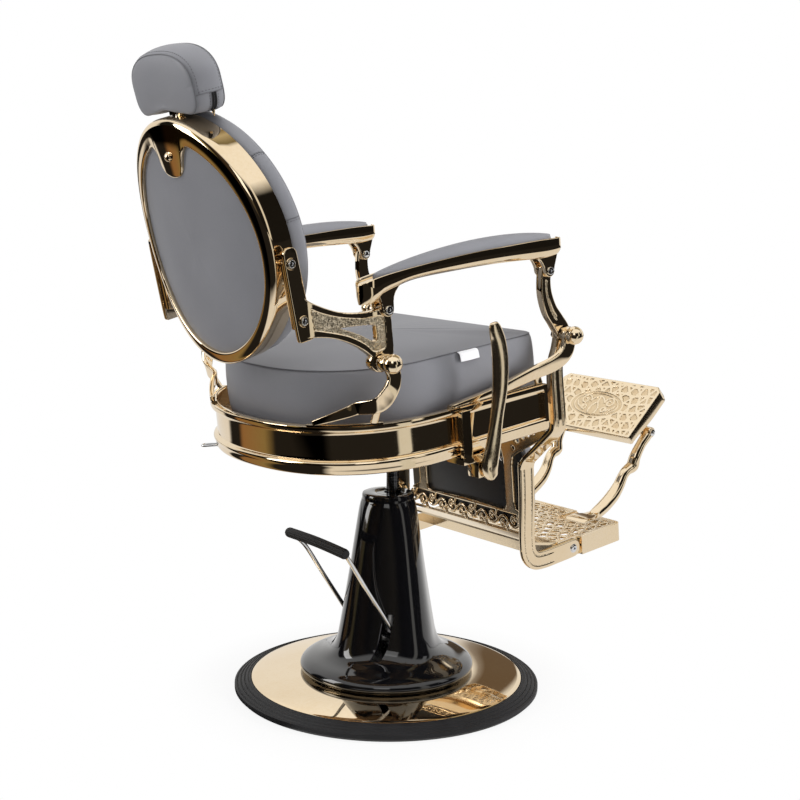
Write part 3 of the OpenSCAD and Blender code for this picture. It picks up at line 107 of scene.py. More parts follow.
def turns_round(tree, split):
    """Heading of a split vector round the upright axis, as a share of a turn from +X."""
    around = maths(tree, "ARCTAN2", split.outputs["Y"], split.outputs["X"])
    return maths(tree, "FRACT", maths(tree, "ADD", maths(tree, "DIVIDE", around, 2 * math.pi), 1.0))


def new_world():
    world = bpy.data.worlds.new("studio")
    bpy.context.scene.world = world
    world.use_nodes = True
    t = world.node_tree
    t.nodes.clear()
    split = node(t, "ShaderNodeSeparateXYZ", {0: node(t, "ShaderNodeTexCoord").outputs["Generated"]})
    height = maths(t, "ARCSINE", split.outputs["Z"])
    turns = turns_round(t, split)
    dark, brown, cream, lit = (0.010, 0.009, 0.008), (0.055, 0.036, 0.020), (0.8, 0.78, 0.72), (0.88, 0.87, 0.85)
    shade, white = (0.14, 0.10, 0.065), (1.0, 0.99, 0.97)
    # by direction round the room: white backdrop, dark side, three patches, dark wall with one soft box
    walls = ramp(t, turns, [
        (0.0, lit), (0.068, lit), (0.082, dark), (0.128, dark), (0.142, (0.62, 0.60, 0.56)),
        (0.166, (0.30, 0.20, 0.10)),
        (0.206, (0.36, 0.29, 0.12)), (0.222, dark), (0.30, brown), (0.33, dark), (0.385, (0.09, 0.075, 0.05)),
        (0.42, dark),
        (0.516, dark), (0.524, cream), (0.546, cream), (0.556, dark), (0.668, dark), (0.69, lit), (0.850, lit),
        (0.855, shade), (0.874, shade), (0.879, lit), (1.0, lit)])
    above = ramp(t, maths(t, "MULTIPLY_ADD", height, 1 / math.pi, 0.5), [(0.0, 0), (0.67, 0), (0.73, 1), (1.0, 1)])
    ceiling = ramp(t, turns, [(0.0, white), (0.67, white), (0.70, (0.20, 0.165, 0.09)), (0.80, (0.50, 0.43, 0.27)),
                              (0.845, (0.22, 0.17, 0.09)), (0.87, white), (1.0, white)])
    # a tall window high on the dark side
    beside = ramp(t, turns, [(0.611, 0), (0.614, 1), (0.648, 1), (0.651, 0)])
    upright_part = ramp(t, height, [(0.33, 0), (0.36, 1), (0.70, 1), (0.73, 0)])
    room = blend(t, maths(t, "MULTIPLY", beside, upright_part), blend(t, above, walls, ceiling), (1, 1, 1, 1))
    mirrored_room, soft, seen = [
        node(t, "ShaderNodeBackground", {"Color": colour, "Strength": strength}).outputs[0]
        for colour, strength in ((room, 1.0), ((1, 1, 1, 1), 0.30), ((1, 1, 1, 1), 1.0))]
    rays = node(t, "ShaderNodeLightPath").outputs
    final = switch(t, rays["Is Camera Ray"], switch(t, rays["Is Glossy Ray"], soft, mirrored_room), seen)
    t.links.new(final, node(t, "ShaderNodeOutputWorld").inputs["Surface"])


new_world()


def material(name):
    """New material; returns it with its node tree, Principled shader and Object coordinates."""
    m = bpy.data.materials.new(name)
    m.use_nodes = True
    t = m.node_tree
    return m, t, t.nodes["Principled BSDF"], node(t, "ShaderNodeTexCoord").outputs["Object"]


def new_floor():
    size, low = 14.0, -0.0005
    mesh = bpy.data.meshes.new("floor")
    mesh.from_pydata([(-size, -size, low), (size, -size, low), (size, size, low), (-size, size, low)], [],
                     [(0, 1, 2, 3)])
    floor = added("floor", mesh)
    m, t, shader, place = material("floor")
    shader.inputs["Base Color"].default_value = (0.85, 0.85, 0.85, 1)
    shader.inputs["Roughness"].default_value = 0.6
    shader.inputs["Specular IOR Level"].default_value = 0.1

    def away(point):
        gap = node(t, "ShaderNodeVectorMath", {0: place, 1: point}, operation="SUBTRACT").outputs[0]
        return node(t, "ShaderNodeVectorMath", {0: gap}, operation="LENGTH").outputs["Value"]
    # the mirrored floor runs on white under the backdrop, and ends a little way before the dark side of the room
    dark = (0.02, 0.018, 0.016)
    ground = ramp(t, maths(t, "DIVIDE", away((3.05, -2.51, 0)), 10.0),
                  [(0.0, 1), (0.495, (0.92, 0.90, 0.88)), (0.525, dark)])
    # one lit patch of the dark floor, beside the chair
    side = turns_round(t, node(t, "ShaderNodeSeparateXYZ", {0: place}))
    patch = ramp(t, side, [(0.474, 0), (0.478, 1), (0.512, 1), (0.516, 0)])
    ground = blend(t, patch, ground, (0.8, 0.79, 0.74, 1))
    # to the rear it is dark, with one brown stretch
    rear = ramp(t, side, [(0.0, 1), (0.050, 1), (0.060, dark), (0.088, dark), (0.096, (0.34, 0.18, 0.07)),
                          (0.140, (0.32, 0.23, 0.09)), (0.165, dark), (0.280, dark), (0.300, 1), (1.0, 1)])
    ground = blend(t, 1.0, ground, rear, blend_type="MULTIPLY")
    # seen by the camera it is white, with a shade of the object's shadow kept close to the base
    clear = ramp(t, maths(t, "DIVIDE", away((0, 0, 0)), 4.0), [(0.078, 0.87), (0.115, 1)])
    white, bright = [node(t, "ShaderNodeEmission", {"Color": colour, "Strength": strength}).outputs[0]
                     for colour, strength in (((1, 1, 1, 1), 1.0), (ground, 0.85))]
    rays = node(t, "ShaderNodeLightPath").outputs
    lit = shader.outputs[0]
    last = switch(t, rays["Is Camera Ray"], switch(t, rays["Is Glossy Ray"], lit, bright),
                  switch(t, clear, lit, white))
    t.links.new(last, t.nodes["Material Output"].inputs["Surface"])
    mesh.materials.append(m)


new_floor()


def soft_box(name, at, aim, width, height, watts, reflected):
    """Area lamp that the camera doesn't see; reflected says whether polished metal shows it."""
    lamp = bpy.data.lights.new(name, "AREA")
    lamp.shape, lamp.size, lamp.size_y, lamp.energy = "RECTANGLE", width, height, watts
    o = added(name, lamp)
    o.location = at
    o.rotation_euler = (Vector(aim) - Vector(at)).to_track_quat("-Z", "Y").to_euler()
    o.visible_camera, o.visible_glossy = False, reflected


soft_box("overhead", (-0.4, 0.6, 3.1), (0, 0, 0.6), 2.6, 2.6, 56, False)
soft_box("rear_left", (1.6, 3.0, 1.7), (0, 0.2, 0.8), 1.2, 2.2, 42, True)
soft_box("front_right", (-2.3, -1.9, 1.2), (0, -0.2, 0.6), 1.0, 1.8, 82, False)
soft_box("camera_fill", (-2.6, 2.6, 2.3), (0, 0, 0.7), 1.4, 1.4, 8, True)

# ---- Weighted base ----
# A ribbed rubber ring is pressed on the edge of a spun and plated steel disc, and the moulded
# gloss black cover of the pump stands on the disc on its round foot.


def finish(paint, objects):
    """Gives objects one material, or a tuple of them that goes by each face's own number."""
    for o in objects:
        marks = [f.material_index for f in o.data.polygons]
        o.data.materials.clear()
        for m in paint if isinstance(paint, tuple) else (paint,):
            o.data.materials.append(m)
        if isinstance(paint, tuple):
            o.data.polygons.foreach_set("material_index", marks)


def cad(*names):
    return [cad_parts[n] for n in names]


def place_piece(o, paint, body, replaced):
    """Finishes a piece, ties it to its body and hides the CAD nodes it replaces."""
    finish(paint, [o])
    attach(o, body)
    if replaced:
        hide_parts(*replaced)


def noise(tree, place, scale, detail):
    return node(tree, "ShaderNodeTexNoise", {"Vector": place, "Scale": scale, "Detail": detail}).outputs[0]


def looks(t, shader, share, colours, rough, height=None, strength=0.0, distance=0.0):
    """Base colour and roughness from ramps over one value, and a bump from a height."""
    if colours:
        t.links.new(ramp(t, share, colours), shader.inputs["Base Color"])
    t.links.new(ramp(t, share, rough), shader.inputs["Roughness"])
    if height is not None:
        bump = node(t, "ShaderNodeBump", {"Height": height, "Strength": strength, "Distance": distance})
        t.links.new(bump.outputs[0], shader.inputs["Normal"])


def new_group(name, kind, inputs, outputs):
    """Node group with sockets by name and type; returns it with its input and output nodes."""
    g = bpy.data.node_groups.new(name, kind)
    for way, sockets in (("INPUT", inputs), ("OUTPUT", outputs)):
        for label, what in sockets.items():
            g.interface.new_socket(label, in_out=way, socket_type="NodeSocket" + what)
    return g, node(g, "NodeGroupInput").outputs, node(g, "NodeGroupOutput").inputs


def new_rubber():
    m, t, shader, place = material("black rubber")
    looks(t, shader, noise(t, place, 14.0, 3.0), [(0.3, (0.006, 0.006, 0.007)), (0.75, (0.016, 0.016, 0.018))],
          [(0.3, 0.5), (0.8, 0.66)], noise(t, place, 900.0, 3.0), 0.25, 0.0004)
    shader.inputs["Specular IOR Level"].default_value = 0.35
    return m


rubber = new_rubber()


def plate_wear():
    """Group: fine unevenness of polished plating, with a mask of faint haze."""
    g, start, end = new_group("plating", "ShaderNodeTree", {"Place": "Vector", "Wave": "Float"},
                              {"Haze": "Float", "Height": "Float"})
    slow, fine = noise(g, start["Place"], 16.0, 2.0), noise(g, start["Place"], 160.0, 4.0)
    g.links.new(maths(g, "MULTIPLY", slow, start["Wave"]), end["Height"])
    g.links.new(maths(g, "MULTIPLY_ADD", fine, 0.5, maths(g, "MULTIPLY", slow, 0.5)), end["Haze"])
    return g


plating = plate_wear()


def new_metal(name, dull, colour, low, high, wave=1.0, grain=None, bump=(0.12, 0.0006), mid=0.6):
    """Plated metal: colour and roughness drift a little; grain adds a pebbled ground of that scale."""
    m, t, shader, place = material(name)
    worn = node(t, "ShaderNodeGroup", {"Place": place, "Wave": wave}, node_tree=plating).outputs
    height = worn["Height"]
    if grain:
        cells = node(t, "ShaderNodeTexVoronoi", {"Vector": place, "Scale": grain}, feature="SMOOTH_F1")
        height, bump = cells.outputs["Distance"], (1.0, 0.0022)
    looks(t, shader, worn["Haze"], [(0.35, dull), (mid, colour)], [(0.38, low), (0.68, high)], height, *bump)
    shader.inputs["Metallic"].default_value = 1.0
    return m


gold = new_metal("polished gold plating", (0.87, 0.70, 0.475), (0.90, 0.745, 0.53), 0.02, 0.07)
satin_gold = new_metal("cast gold plating", (0.89, 0.73, 0.50), (0.92, 0.77, 0.56), 0.13, 0.2, wave=0.5)
pebbled_gold = new_metal("pebbled gold", (0.88, 0.72, 0.49), (1.0, 0.87, 0.66), 0.3, 0.42, grain=330.0)


def new_gloss_black():
    m, t, shader, place = material("gloss black enamel")
    shader.inputs["Base Color"].default_value = (0.004, 0.004, 0.005, 1)
    peel = noise(t, place, 60.0, 2.0)
    looks(t, shader, peel, None, [(0.3, 0.05), (0.8, 0.10)], peel, 0.08, 0.0006)
    shader.inputs["Coat Weight"].default_value = 0.6
    shader.inputs["Coat Roughness"].default_value = 0.03
    return m


gloss_black = new_gloss_black()


def circle(steps):
    """Angles of one turn, the first not repeated."""
    return np.linspace(0, 2 * math.pi, steps + 1)[:-1]


def grid_mesh(name, rows, closed_u=True, closed_v=False, cap=False):
    """Skin through rows of points; closed_u joins each row's ends, closed_v joins last row to first."""
    n, m = len(rows[0]), len(rows)
    points = [tuple(p) for r in rows for p in r]
    faces = []
    for j in range(m if closed_v else m - 1):
        k = (j + 1) % m
        for i in range(n if closed_u else n - 1):
            h = (i + 1) % n
            faces.append((j * n + i, j * n + h, k * n + h, k * n + i))
    if cap:
        faces += [tuple(range(n - 1, -1, -1)), tuple((m - 1) * n + i for i in range(n))]
    mesh = bpy.data.meshes.new(name)
    mesh.from_pydata(points, [], faces)
    return whole(name, mesh)


def whole(name, mesh, angle=40.0):
    """Object for a mesh: doubles merged, faces outwards, smooth shading up to an angle."""
    b = bmesh.new()
    b.from_mesh(mesh)
    bmesh.ops.remove_doubles(b, verts=b.verts, dist=1e-6)
    bmesh.ops.recalc_face_normals(b, faces=b.faces)
    b.to_mesh(mesh)
    b.free()
    mesh.update()
    o = added(name, mesh)
    smooth_by(o, angle)
    return o


def smooth_by(o, angle=40.0):
    o.data.polygons.foreach_set("use_smooth", [True] * len(o.data.polygons))
    o.data.set_sharp_from_angle(angle=math.radians(angle))


def baked(o):
    """Applies an object's modifiers to its mesh."""
    old = o.data
    o.data = bpy.data.meshes.new_from_object(o.evaluated_get(bpy.context.evaluated_depsgraph_get()))
    o.modifiers.clear()
    bpy.data.meshes.remove(old)
    return o


def power(c, n):
    return math.copysign(abs(c) ** (2.0 / n), c)


def spline(points, steps):
    """Smooth curve through points of any dimension, steps per span."""
    p = [np.array(q, float) for q in points]
    out = []
    for i in range(len(p) - 1):
        a, b, c, d = p[max(i - 1, 0)], p[i], p[i + 1], p[min(i + 2, len(p) - 1)]
        for k in range(steps):
            s = k / steps
            out.append(0.5 * (2 * b + (c - a) * s + (2 * a - 5 * b + 4 * c - d) * s ** 2
                              + (3 * b - a - 3 * c + d) * s ** 3))
    out.append(p[-1])
    return out


# rubber ring and plated disc
finish(rubber, cad("base_rim"))


def new_disc():
    profile = [(0.0001, 0), (0.0455, 0), (0.046, 0.0005), (0.046, 0.028), (0.249, 0.028), (0.255, 0.012),
               (0.285, 0.012), (0.285, 0.0235), (0.2843, 0.0258), (0.2825, 0.0269)]
    # the crown, from the rubber's inner edge up to the foot of the cover
    profile += [(0.2825 + (0.170 - 0.2825) * s, 0.0269 + 0.0131 * math.sin(math.pi / 2 * s) ** 0.9)
                for s in np.linspace(0.06, 1, 14)]
    profile += [(0.0001, 0.040)]
    rows = [[(r * math.cos(a), r * math.sin(a), z) for r, z in profile] for a in circle(192)]
    place_piece(grid_mesh("plated_disc", rows, closed_v=True), gold, "base", ["base_disc"])


new_disc()


def new_cover():
    """Cover with four soft lobes that swell into the round foot; slots for the lever's legs."""
    foot_r, low, top, top_r, lobe, wall = 0.182, 0.040, 0.419, 0.054, 0.055, 0.0035
    mid = low + (top - low) * 0.56
    # height, radius and share of the lobes
    rows = [(low, foot_r - .009, 0), (low + .009, foot_r, 0), (low + .020, foot_r - .003, 0),
            (low + .029, foot_r - .017, 0),
            (low + .038, foot_r - .044, .1), (low + .050, foot_r - .062, .5), (low + .072, foot_r - .073, 1),
            (low + .110, foot_r - .081, 1), (mid, top_r + (foot_r - .081 - top_r) * .62, .9),
            (top - .090, top_r + .017, .7), (top - .034, top_r + .007, .3), (top - .014, top_r + .001, 0)]
    fine = spline(rows, 7)

    def ring(row, inset):
        return [((row[1] - inset) * (1 + lobe * row[2] * math.cos(4 * a)) * math.cos(a),
                 (row[1] - inset) * (1 + lobe * row[2] * math.cos(4 * a)) * math.sin(a), row[0]) for a in circle(144)]
    skin = [ring(r, 0) for r in fine] + [ring(r, wall) for r in reversed(fine)]
    cover = grid_mesh("pump_cover", skin, closed_v=True)
    for side in (-1, 1):
        box = bpy.data.meshes.new("slot")
        b = bmesh.new()
        at = Matrix.Translation((side * 0.073, 0.055, 0.136)) @ Matrix.Diagonal((0.016, 0.09, 0.092, 1))
        bmesh.ops.create_cube(b, size=1.0, matrix=at)
        b.to_mesh(box)
        b.free()
        cutter = added("slot", box)
        cut = cover.modifiers.new("slot", "BOOLEAN")
        cut.operation, cut.object, cut.solver = "DIFFERENCE", cutter, "EXACT"
        cover = baked(cover)
        bpy.data.objects.remove(cutter)
    smooth_by(cover)
    place_piece(cover, gloss_black, "base", ["column_cover"])


new_cover()


def lathe(name, profile, at, axis, steps=48):
    """Turned solid: profile of (radius, height along axis) from one end to the other."""
    z = Vector(axis).normalized()
    x = z.orthogonal().normalized()
    y = z.cross(x)
    rows = [[Vector(at) + z * h + (x * math.cos(a) + y * math.sin(a)) * max(r, 1e-5) for r, h in profile]
            for a in circle(steps)]
    return grid_mesh(name, rows, closed_u=False, closed_v=True)


def new_collar():
    r, low, top, hole = 0.054, 0.405, 0.419, 0.018
    profile = [(hole, low), (r, low), (r, top - .004), (r - .0012, top - .0012), (r - .004, top), (0.030, top),
               (0.028, top - .001), (0.0265, top - .002), (hole, top - .002)]
    # the hole is drawn out towards the front
    rows = [[(q * math.cos(a), q * math.sin(a) + (0 if q > 0.031 else -0.012 * (0.031 - q) / 0.013), z) for q,
             z in profile]
            for a in circle(96)]
    place_piece(grid_mesh("cover_ring", rows, closed_v=True), gloss_black, "base", ["cover_collar"])


new_collar()


def new_steel(name, colour, low, high):
    return new_metal(name, tuple(c * 0.9 for c in colour), colour, low, high, bump=(0.3, 0.0005), mid=0.65)


chrome = new_steel("chromed steel", (0.80, 0.81, 0.83), 0.05, 0.13)
dull_steel = new_steel("zinc plated steel", (0.60, 0.60, 0.60), 0.25, 0.4)
finish(dull_steel, cad("pump_cylinder", "base_bolts"))

# ---- Pump lever ----
# Two legs of bright bar come out of slots in the cover and meet in a cross bar under a fluted
# rubber grip; the legs turn on the rocker shaft of the pump.


def tube(name, path, radius, sides=20, start=Vector((1, 0, 0)), shape=None):
    """Round bar along a path; radius may be a list; shape(i, angle) scales the radius."""
    path = [Vector(p) for p in path]
    n = len(path)
    rows = []
    for i, p in enumerate(path):
        d = (path[min(i + 1, n - 1)] - path[max(i - 1, 0)]).normalized()
        side = (start - start.dot(d) * d).normalized()
        other = d.cross(side)
        r = radius[i] if isinstance(radius, (list, tuple)) else radius
        rows.append([p + (side * math.cos(a) + other * math.sin(a)) * r * (shape(i, a) if shape else 1.0)
                     for a in circle(sides)])
    return grid_mesh(name, rows, cap=True)


def joined(name, objects):
    """One object from several, keeping their meshes as they are."""
    b = bmesh.new()
    for o in objects:
        b.from_mesh(o.data)
        bpy.data.objects.remove(o)
    mesh = bpy.data.meshes.new(name)
    b.to_mesh(mesh)
    b.free()
    o = added(name, mesh)
    smooth_by(o)
    return o


def mirrored(o, name):
    """Copy of a piece on the other side of the chair."""
    mesh = o.data.copy()
    b = bmesh.new()
    b.from_mesh(mesh)
    for v in b.verts:
        v.co.x = -v.co.x
    bmesh.ops.reverse_faces(b, faces=b.faces)
    b.to_mesh(mesh)
    b.free()
    return added(name, mesh)


def new_pump_lever():
    gap, pivot_y, pivot_z, bar_r = 0.073, 0.022, 0.112, 0.0045
    grip_y, grip_z, grip_half = 0.185, 0.338, 0.088
    route = [(gap, pivot_y, pivot_z), (gap, pivot_y + .040, pivot_z + .060), (gap, .112, .245),
             (gap + .001, .156, .311),
             (gap + .006, .176, .332), (grip_half - .004, grip_y, grip_z),
             (grip_half - .02, grip_y + .0005, grip_z + .0005)]
    profile = [(0.0, -.0053), (.0095, -.0053), (.011, -.004), (.011, .004), (.0095, .0053), (0.0, .0053)]
    eye_ring = lathe("eye", profile, (gap, pivot_y, pivot_z), (1, 0, 0))
    half = joined("half", [tube("leg", spline(route, 8), bar_r), eye_ring])
    lever = joined("lever_legs", [half, mirrored(half, "other_half")])
    place_piece(lever, chrome, "pump", ["pump_lever"])
    flutes, grip_r = 15, 0.0106
    path = spline([(-grip_half - .010, grip_y - .0015, grip_z - .003), (-grip_half * .6, grip_y, grip_z + .0008),
                   (0, grip_y + .0005, grip_z + .0035),
                   (grip_half * .6, grip_y, grip_z + .0038), (grip_half + .010, grip_y - .0015, grip_z + .003)], 12)
    # the grip's ends are drawn in
    radii = [grip_r * (0.86 + 0.14 * min(1.0, min(i, len(path) - 1 - i) / 2.0)) for i in range(len(path))]
    grip = tube("lever_grip", path, radii, sides=flutes * 8, start=Vector((0, 1, 0)),
                shape=lambda i, a: 1.0 - 0.075 * abs(math.sin(flutes * a / 2)) ** 3)
    place_piece(grip, rubber, "pump", ["pump_grip"])


new_pump_lever()
finish(dull_steel, cad("pump_rocker"))

# ---- Lift ----
# The ground piston rod slides in the pump and carries the hub that the seat turns on.


def new_rod_steel():
    m, t, shader, place = material("dark piston rod")
    long = node(t, "ShaderNodeMapping", {"Vector": place, "Scale": (40, 40, 400)}).outputs[0]
    looks(t, shader, noise(t, long, 1.0, 3.0), [(0.3, (0.05, 0.05, 0.055)), (0.7, (0.16, 0.16, 0.17))],
          [(0.3, 0.16), (0.7, 0.30)])
    shader.inputs["Metallic"].default_value = 1.0
    return m


rod_steel = new_rod_steel()
finish(rod_steel, cad("piston_rod", "swivel_bearing", "seat_mount"))


# ---- Seat frame ----
# A pressed and plated horseshoe band runs round the rear and meets two side rails; both have a
# rolled lip above, a flat face and a bead below, and a front rail and plywood board close the box.

band_half, band_bow, band_mid, band_end = 300, 250, 98, 62
tilt, seat_low = math.radians(6.5), 557


def seat_point(x, u, v):
    """Point of the tilted seat frame, in millimetres, to the chair's frame in metres."""
    back, height = u * math.cos(tilt) + v * math.sin(tilt), -u * math.sin(tilt) + v * math.cos(tilt)
    return Vector((x, back, height + seat_low)) / 1000


def band_point(angle, inset):
    return ((band_half - inset) * power(math.cos(angle), 2.25),
            band_mid + (band_bow - inset) * power(math.sin(angle), 2.25))


def new_band():
    section = [(14, 0), (8, 0), (6.2, .8), (4.4, 3), (3.4, 6), (3, 10), (2.8, 14.5), (1.6, 16.6), (.5, 18.6), (0, 21),
               (.5, 23.4),
               (1.6, 25.2), (4, 26.6), (7, 27.6), (8.6, 29), (9, 32), (9, 33.5), (9, 50), (9, 74.5), (9, 76),
               (8.5, 79), (6.6, 81.4), (3, 82.6), (.9, 84),
               (0, 86.5), (0, 91.5), (.7, 94), (2.6, 95), (14, 95)]
    angles = [math.pi * k / 168 for k in range(169)]
    rows = [[seat_point(band_half - i, band_end, v) for i, v in section]]
    rows += [[seat_point(*band_point(a, i), v) for i, v in section] for a in angles]
    rows.append([seat_point(-band_half + i, band_end, v) for i, v in section])
    place_piece(grid_mesh("seat_band_rolled", rows, cap=True), gold, "seat", ["seat_band"])


new_band()


def new_rails():
    inner, front = 286, -165
    section = [(0, 0), (9, 0), (13, 3), (15, 7), (15, 15.5), (16, 18), (17, 20), (17, 23), (16, 25), (13, 26.4),
               (9, 27.4), (8, 29.5),
               (8, 31), (8, 50), (8, 76.5), (8, 78), (9, 80), (13, 81.2), (16.2, 82.4), (17, 84.5), (17, 92),
               (16.2, 94.2), (14, 95), (0, 95)]
    # the front end is a solid block
    solid = [(min(w, 15 if v > 0 else w) if v < 18 else (17 if v < 92 and w > 0 else w), v) for w, v in section]
    rows = [[seat_point(inner + w, u, v) for w, v in ring] for u, ring in (
        (front, solid), (front + 9, solid), (front + 11, section), (-60, section), (band_end - .3, section))]
    rail = grid_mesh("rail", rows, cap=True)
    rails = joined("plated_side_rails", [rail, mirrored(rail, "other_rail")])
    place_piece(rails, gold, "seat", ["side_rails"])


new_rails()
finish(gold, cad("front_rail"))


def new_plywood():
    m, t, shader, place = material("plywood")
    plies = node(t, "ShaderNodeTexWave", {"Vector": place, "Scale": 220.0, "Distortion": 1.5, "Detail": 3.0},
                 bands_direction="Z").outputs[1]
    looks(t, shader, plies, [(0.2, (0.38, 0.22, 0.10)), (0.8, (0.58, 0.38, 0.20))], [(0.2, 0.7), (0.8, 0.5)],
          plies, 0.2, 0.0003)
    return m


finish(new_plywood(), cad("seat_board"))
finish(dull_steel, cad("mount_bolts"))
finish(gloss_black, cad("recline_lock"))

# ---- Seat brackets and main pivots ----
# Four cast brackets stand on the frame and carry the pivots. Each ends in a polished ball; their
# lower ends sweep back on to long feet, with an open triangle between foot and strut.


def bar_axes(spots, i, heading):
    """Directions out of a bar's outer face and across the bar, at one of its spots."""
    along = (spots[min(i + 1, len(spots) - 1)] - spots[max(i - 1, 0)]).normalized()
    out = Vector((math.cos(math.radians(heading)), math.sin(math.radians(heading)), 0))
    out = (out - out.dot(along) * along).normalized()
    return out, along.cross(out)


def strap(name, route, thickness, sides=20, roundness=3.2, steps=7):
    """Rounded flat bar along (x, u, v, half width, heading of its outer face) in the seat frame."""
    q = spline(route, steps)
    spots = [seat_point(*p[:3]) for p in q]
    rows = []
    for i, p in enumerate(q):
        out, wide = bar_axes(spots, i, p[4])
        h, t = p[3] / 1000, thickness / 2000
        rows.append([spots[i] + wide * h * power(math.cos(a), roundness) + out * t * power(math.sin(a), roundness)
                     for a in circle(sides)])

    def narrow(row, away):
        middle = sum(row, Vector()) / sides
        return [middle + (p - middle) * 0.82 + away.normalized() * 0.0012 for p in row]
    # the bar steps in at its first end, and has a narrow row just before its last
    first, late = narrow(rows[0], spots[0] - spots[1]), narrow(rows[-2], spots[-1] - spots[-2])
    return grid_mesh(name, [first] + rows[:-1] + [late] + rows[-1:], cap=True)


pivots = {"rear": (233, 215), "front": (-224, 183)}
bracket_x = 310.5


def turned(name, profile, u, v, steps=48):
    """Turned piece across the seat frame at (u, v): profile of (radius, x) in millimetres."""
    return lathe(name, [(r / 1000, x / 1000) for r, x in profile], seat_point(0, u, v), (1, 0, 0), steps)


def pivot_ball(at):
    """Pin with a polished ball outside, a collar under the ball and a nut inside."""
    centre, r = 326, 18
    profile = [(0, 271.5), (8, 271.5), (8, 313.5), (14, 313.5), (14.6, 314), (14.6, 315.2)]
    profile += [(r * math.sin(a), centre - r * math.cos(a)) for a in np.linspace(0.95, math.pi, 22)]
    nut = turned("nut", [(0, 272.5), (12.8, 272.5), (14.0, 273.5), (14.0, 280.5), (0, 280.5)], *at, 6)
    return joined("ball", [turned("pin", profile, *at), nut])


def bracket_boss(u, v):
    return turned("boss", [(0, 297.5), (15.5, 297.5), (16.2, 299), (16.2, 315.5), (15.5, 317), (0, 317)], u, v)


def new_front_bracket():
    u, v = pivots["front"]
    route = [(bracket_x, u, v, 15, 0), (bracket_x, u + 3, v - 17, 15.5, 0), (bracket_x, u + 11, v - 33, 15.5, 0),
             (bracket_x - 2, u + 27, v - 45, 15, -8), (bracket_x - 7, u + 52, 129, 14.5, -18),
             (296, u + 84, 122, 13, -24),
             (293, u + 124, 114.5, 11.5, -26), (293, u + 164, 108.5, 10, -26), (293, u + 220, 103, 7.5, -22),
             (293, u + 305, 98.6, 3.5, -16)]
    strut = strap("strut", route, 13, sides=28, roundness=6)
    foot = strap("foot", [(293, u + far, 96.9, 7, 90) for far in (68, 160, 306)], 3.8, roundness=6)
    heel = strap("heel", [(293, u + 72, 97, 8, 0), (294, u + 78, 112, 8, 0), (297, u + 84, 124, 8, 0)], 11)
    return joined("bracket", [strut, bracket_boss(u, v), heel, foot])


def flat_foot(edge_a, edge_b, v0, v1):
    """Thin plate between two edge lines of (x, u), with softened rims."""
    rows = []
    for a, b in zip(edge_a, edge_b):
        a, b = Vector(a), Vector(b)
        s = (b - a) * 0.12
        ring = ((a, v0), (a, v1 - .9), (a + s, v1), (b - s, v1), (b, v1 - .9), (b, v0))
        rows.append([seat_point(p.x, p.y, v) for p, v in ring])
    return grid_mesh("foot", rows, cap=True)


def new_rear_bracket():
    u, v = pivots["rear"]
    route = [(bracket_x, u - 2, v, 14.5, 0), (bracket_x, u - 11, v - 18, 14.5, 0), (bracket_x, u - 12, v - 32, 14, 4),
             (bracket_x - 2, u - 8, v - 46, 15, 10), (bracket_x - 8, u - 2, 155, 15.5, 18),
             (bracket_x - 17, u + 5, 142, 15, 27),
             (bracket_x - 32, u + 12, 134, 14, 36)]
    for k in range(5):
        f = k / 4
        route.append((*band_point(math.radians(37 + 5 * k), 5), 127 - 27 * f, 12 - 7 * f, 44 + 4 * k))
    strut = strap("strut", route, 10, sides=28, roundness=6)
    angles = [math.radians(a) for a in np.linspace(27, 60, 22)]
    foot = flat_foot([band_point(a, .4) for a in angles], [band_point(a, 12) for a in angles], 94.9, 98.6)
    x, y = band_point(math.radians(31), 6)
    far_x, far_y = bracket_x - 24, u + 8
    web = strap("web", [(x, y, 96, 7, 30), ((x + far_x) / 2, (y + far_y) / 2, 117, 7, 30),
                        (far_x, far_y, 137, 7, 30)], 8)
    return joined("bracket", [strut, bracket_boss(u, v), foot, web])


def place_pair(left, paint, body, replaced):
    """Places a left piece and its mirror image; an asterisk in a name stands for the side."""
    right = mirrored(left, left.name.replace("left", "right"))
    for o, side in ((left, "left"), (right, "right")):
        place_piece(o, paint, body.replace("*", side), [replaced.replace("*", side)])


def new_brackets():
    for make, key in ((new_front_bracket, "front"), (new_rear_bracket, "rear")):
        left = make()
        left.name = key + "_bracket_casting_left"
        place_pair(left, gold, "seat", key + "_bracket_*")
        ball = pivot_ball(pivots[key])
        pair = joined(key + "_pivot_balls", [ball, mirrored(ball, "other_ball")])
        place_piece(pair, gold, "seat", [key + "_pivots"])


new_brackets()

# ---- Strap hook ----
# Chromed wire loop on a block at the rear left of the frame, for the end of a strap.


def new_strap_hook():
    x, y = band_point(math.radians(48), 10)
    c, s = math.cos(math.radians(-40)), math.sin(math.radians(-40))

    def local(a, b, v):
        return seat_point(x + a * c - b * s, y + a * s + b * c, v)
    loop = [(-5, 2), (-7, 8), (-7, 24), (-6, 33), (-2, 37.5), (4, 37.5), (8, 33), (8, 24), (6, 10), (5, 2)]
    wire = tube("wire", spline([local(a, b, -5) for a, b in loop], 5), 0.0022, 12, start=Vector((0, 0, 1)))
    ring = [(-9, -7), (9, -7), (9, 5), (-9, 5)]
    rows = [[local(a * k, b * k, v) for a, b in ring] for k, v in ((.9, -8), (1, -7.2), (1, -.6), (.95, 0))]
    plate = grid_mesh("plate", rows, cap=True)
    place_piece(joined("strap_hook_wire", [wire, plate]), chrome, "seat", ["strap_hook"])


new_strap_hook()

# ---- Recline lever ----
# A cast handle of oval section on a pin under the right rail; its bracket is bolted under the
# frame and grips the rail's face with a short strap, and two bright bolts hang below it.


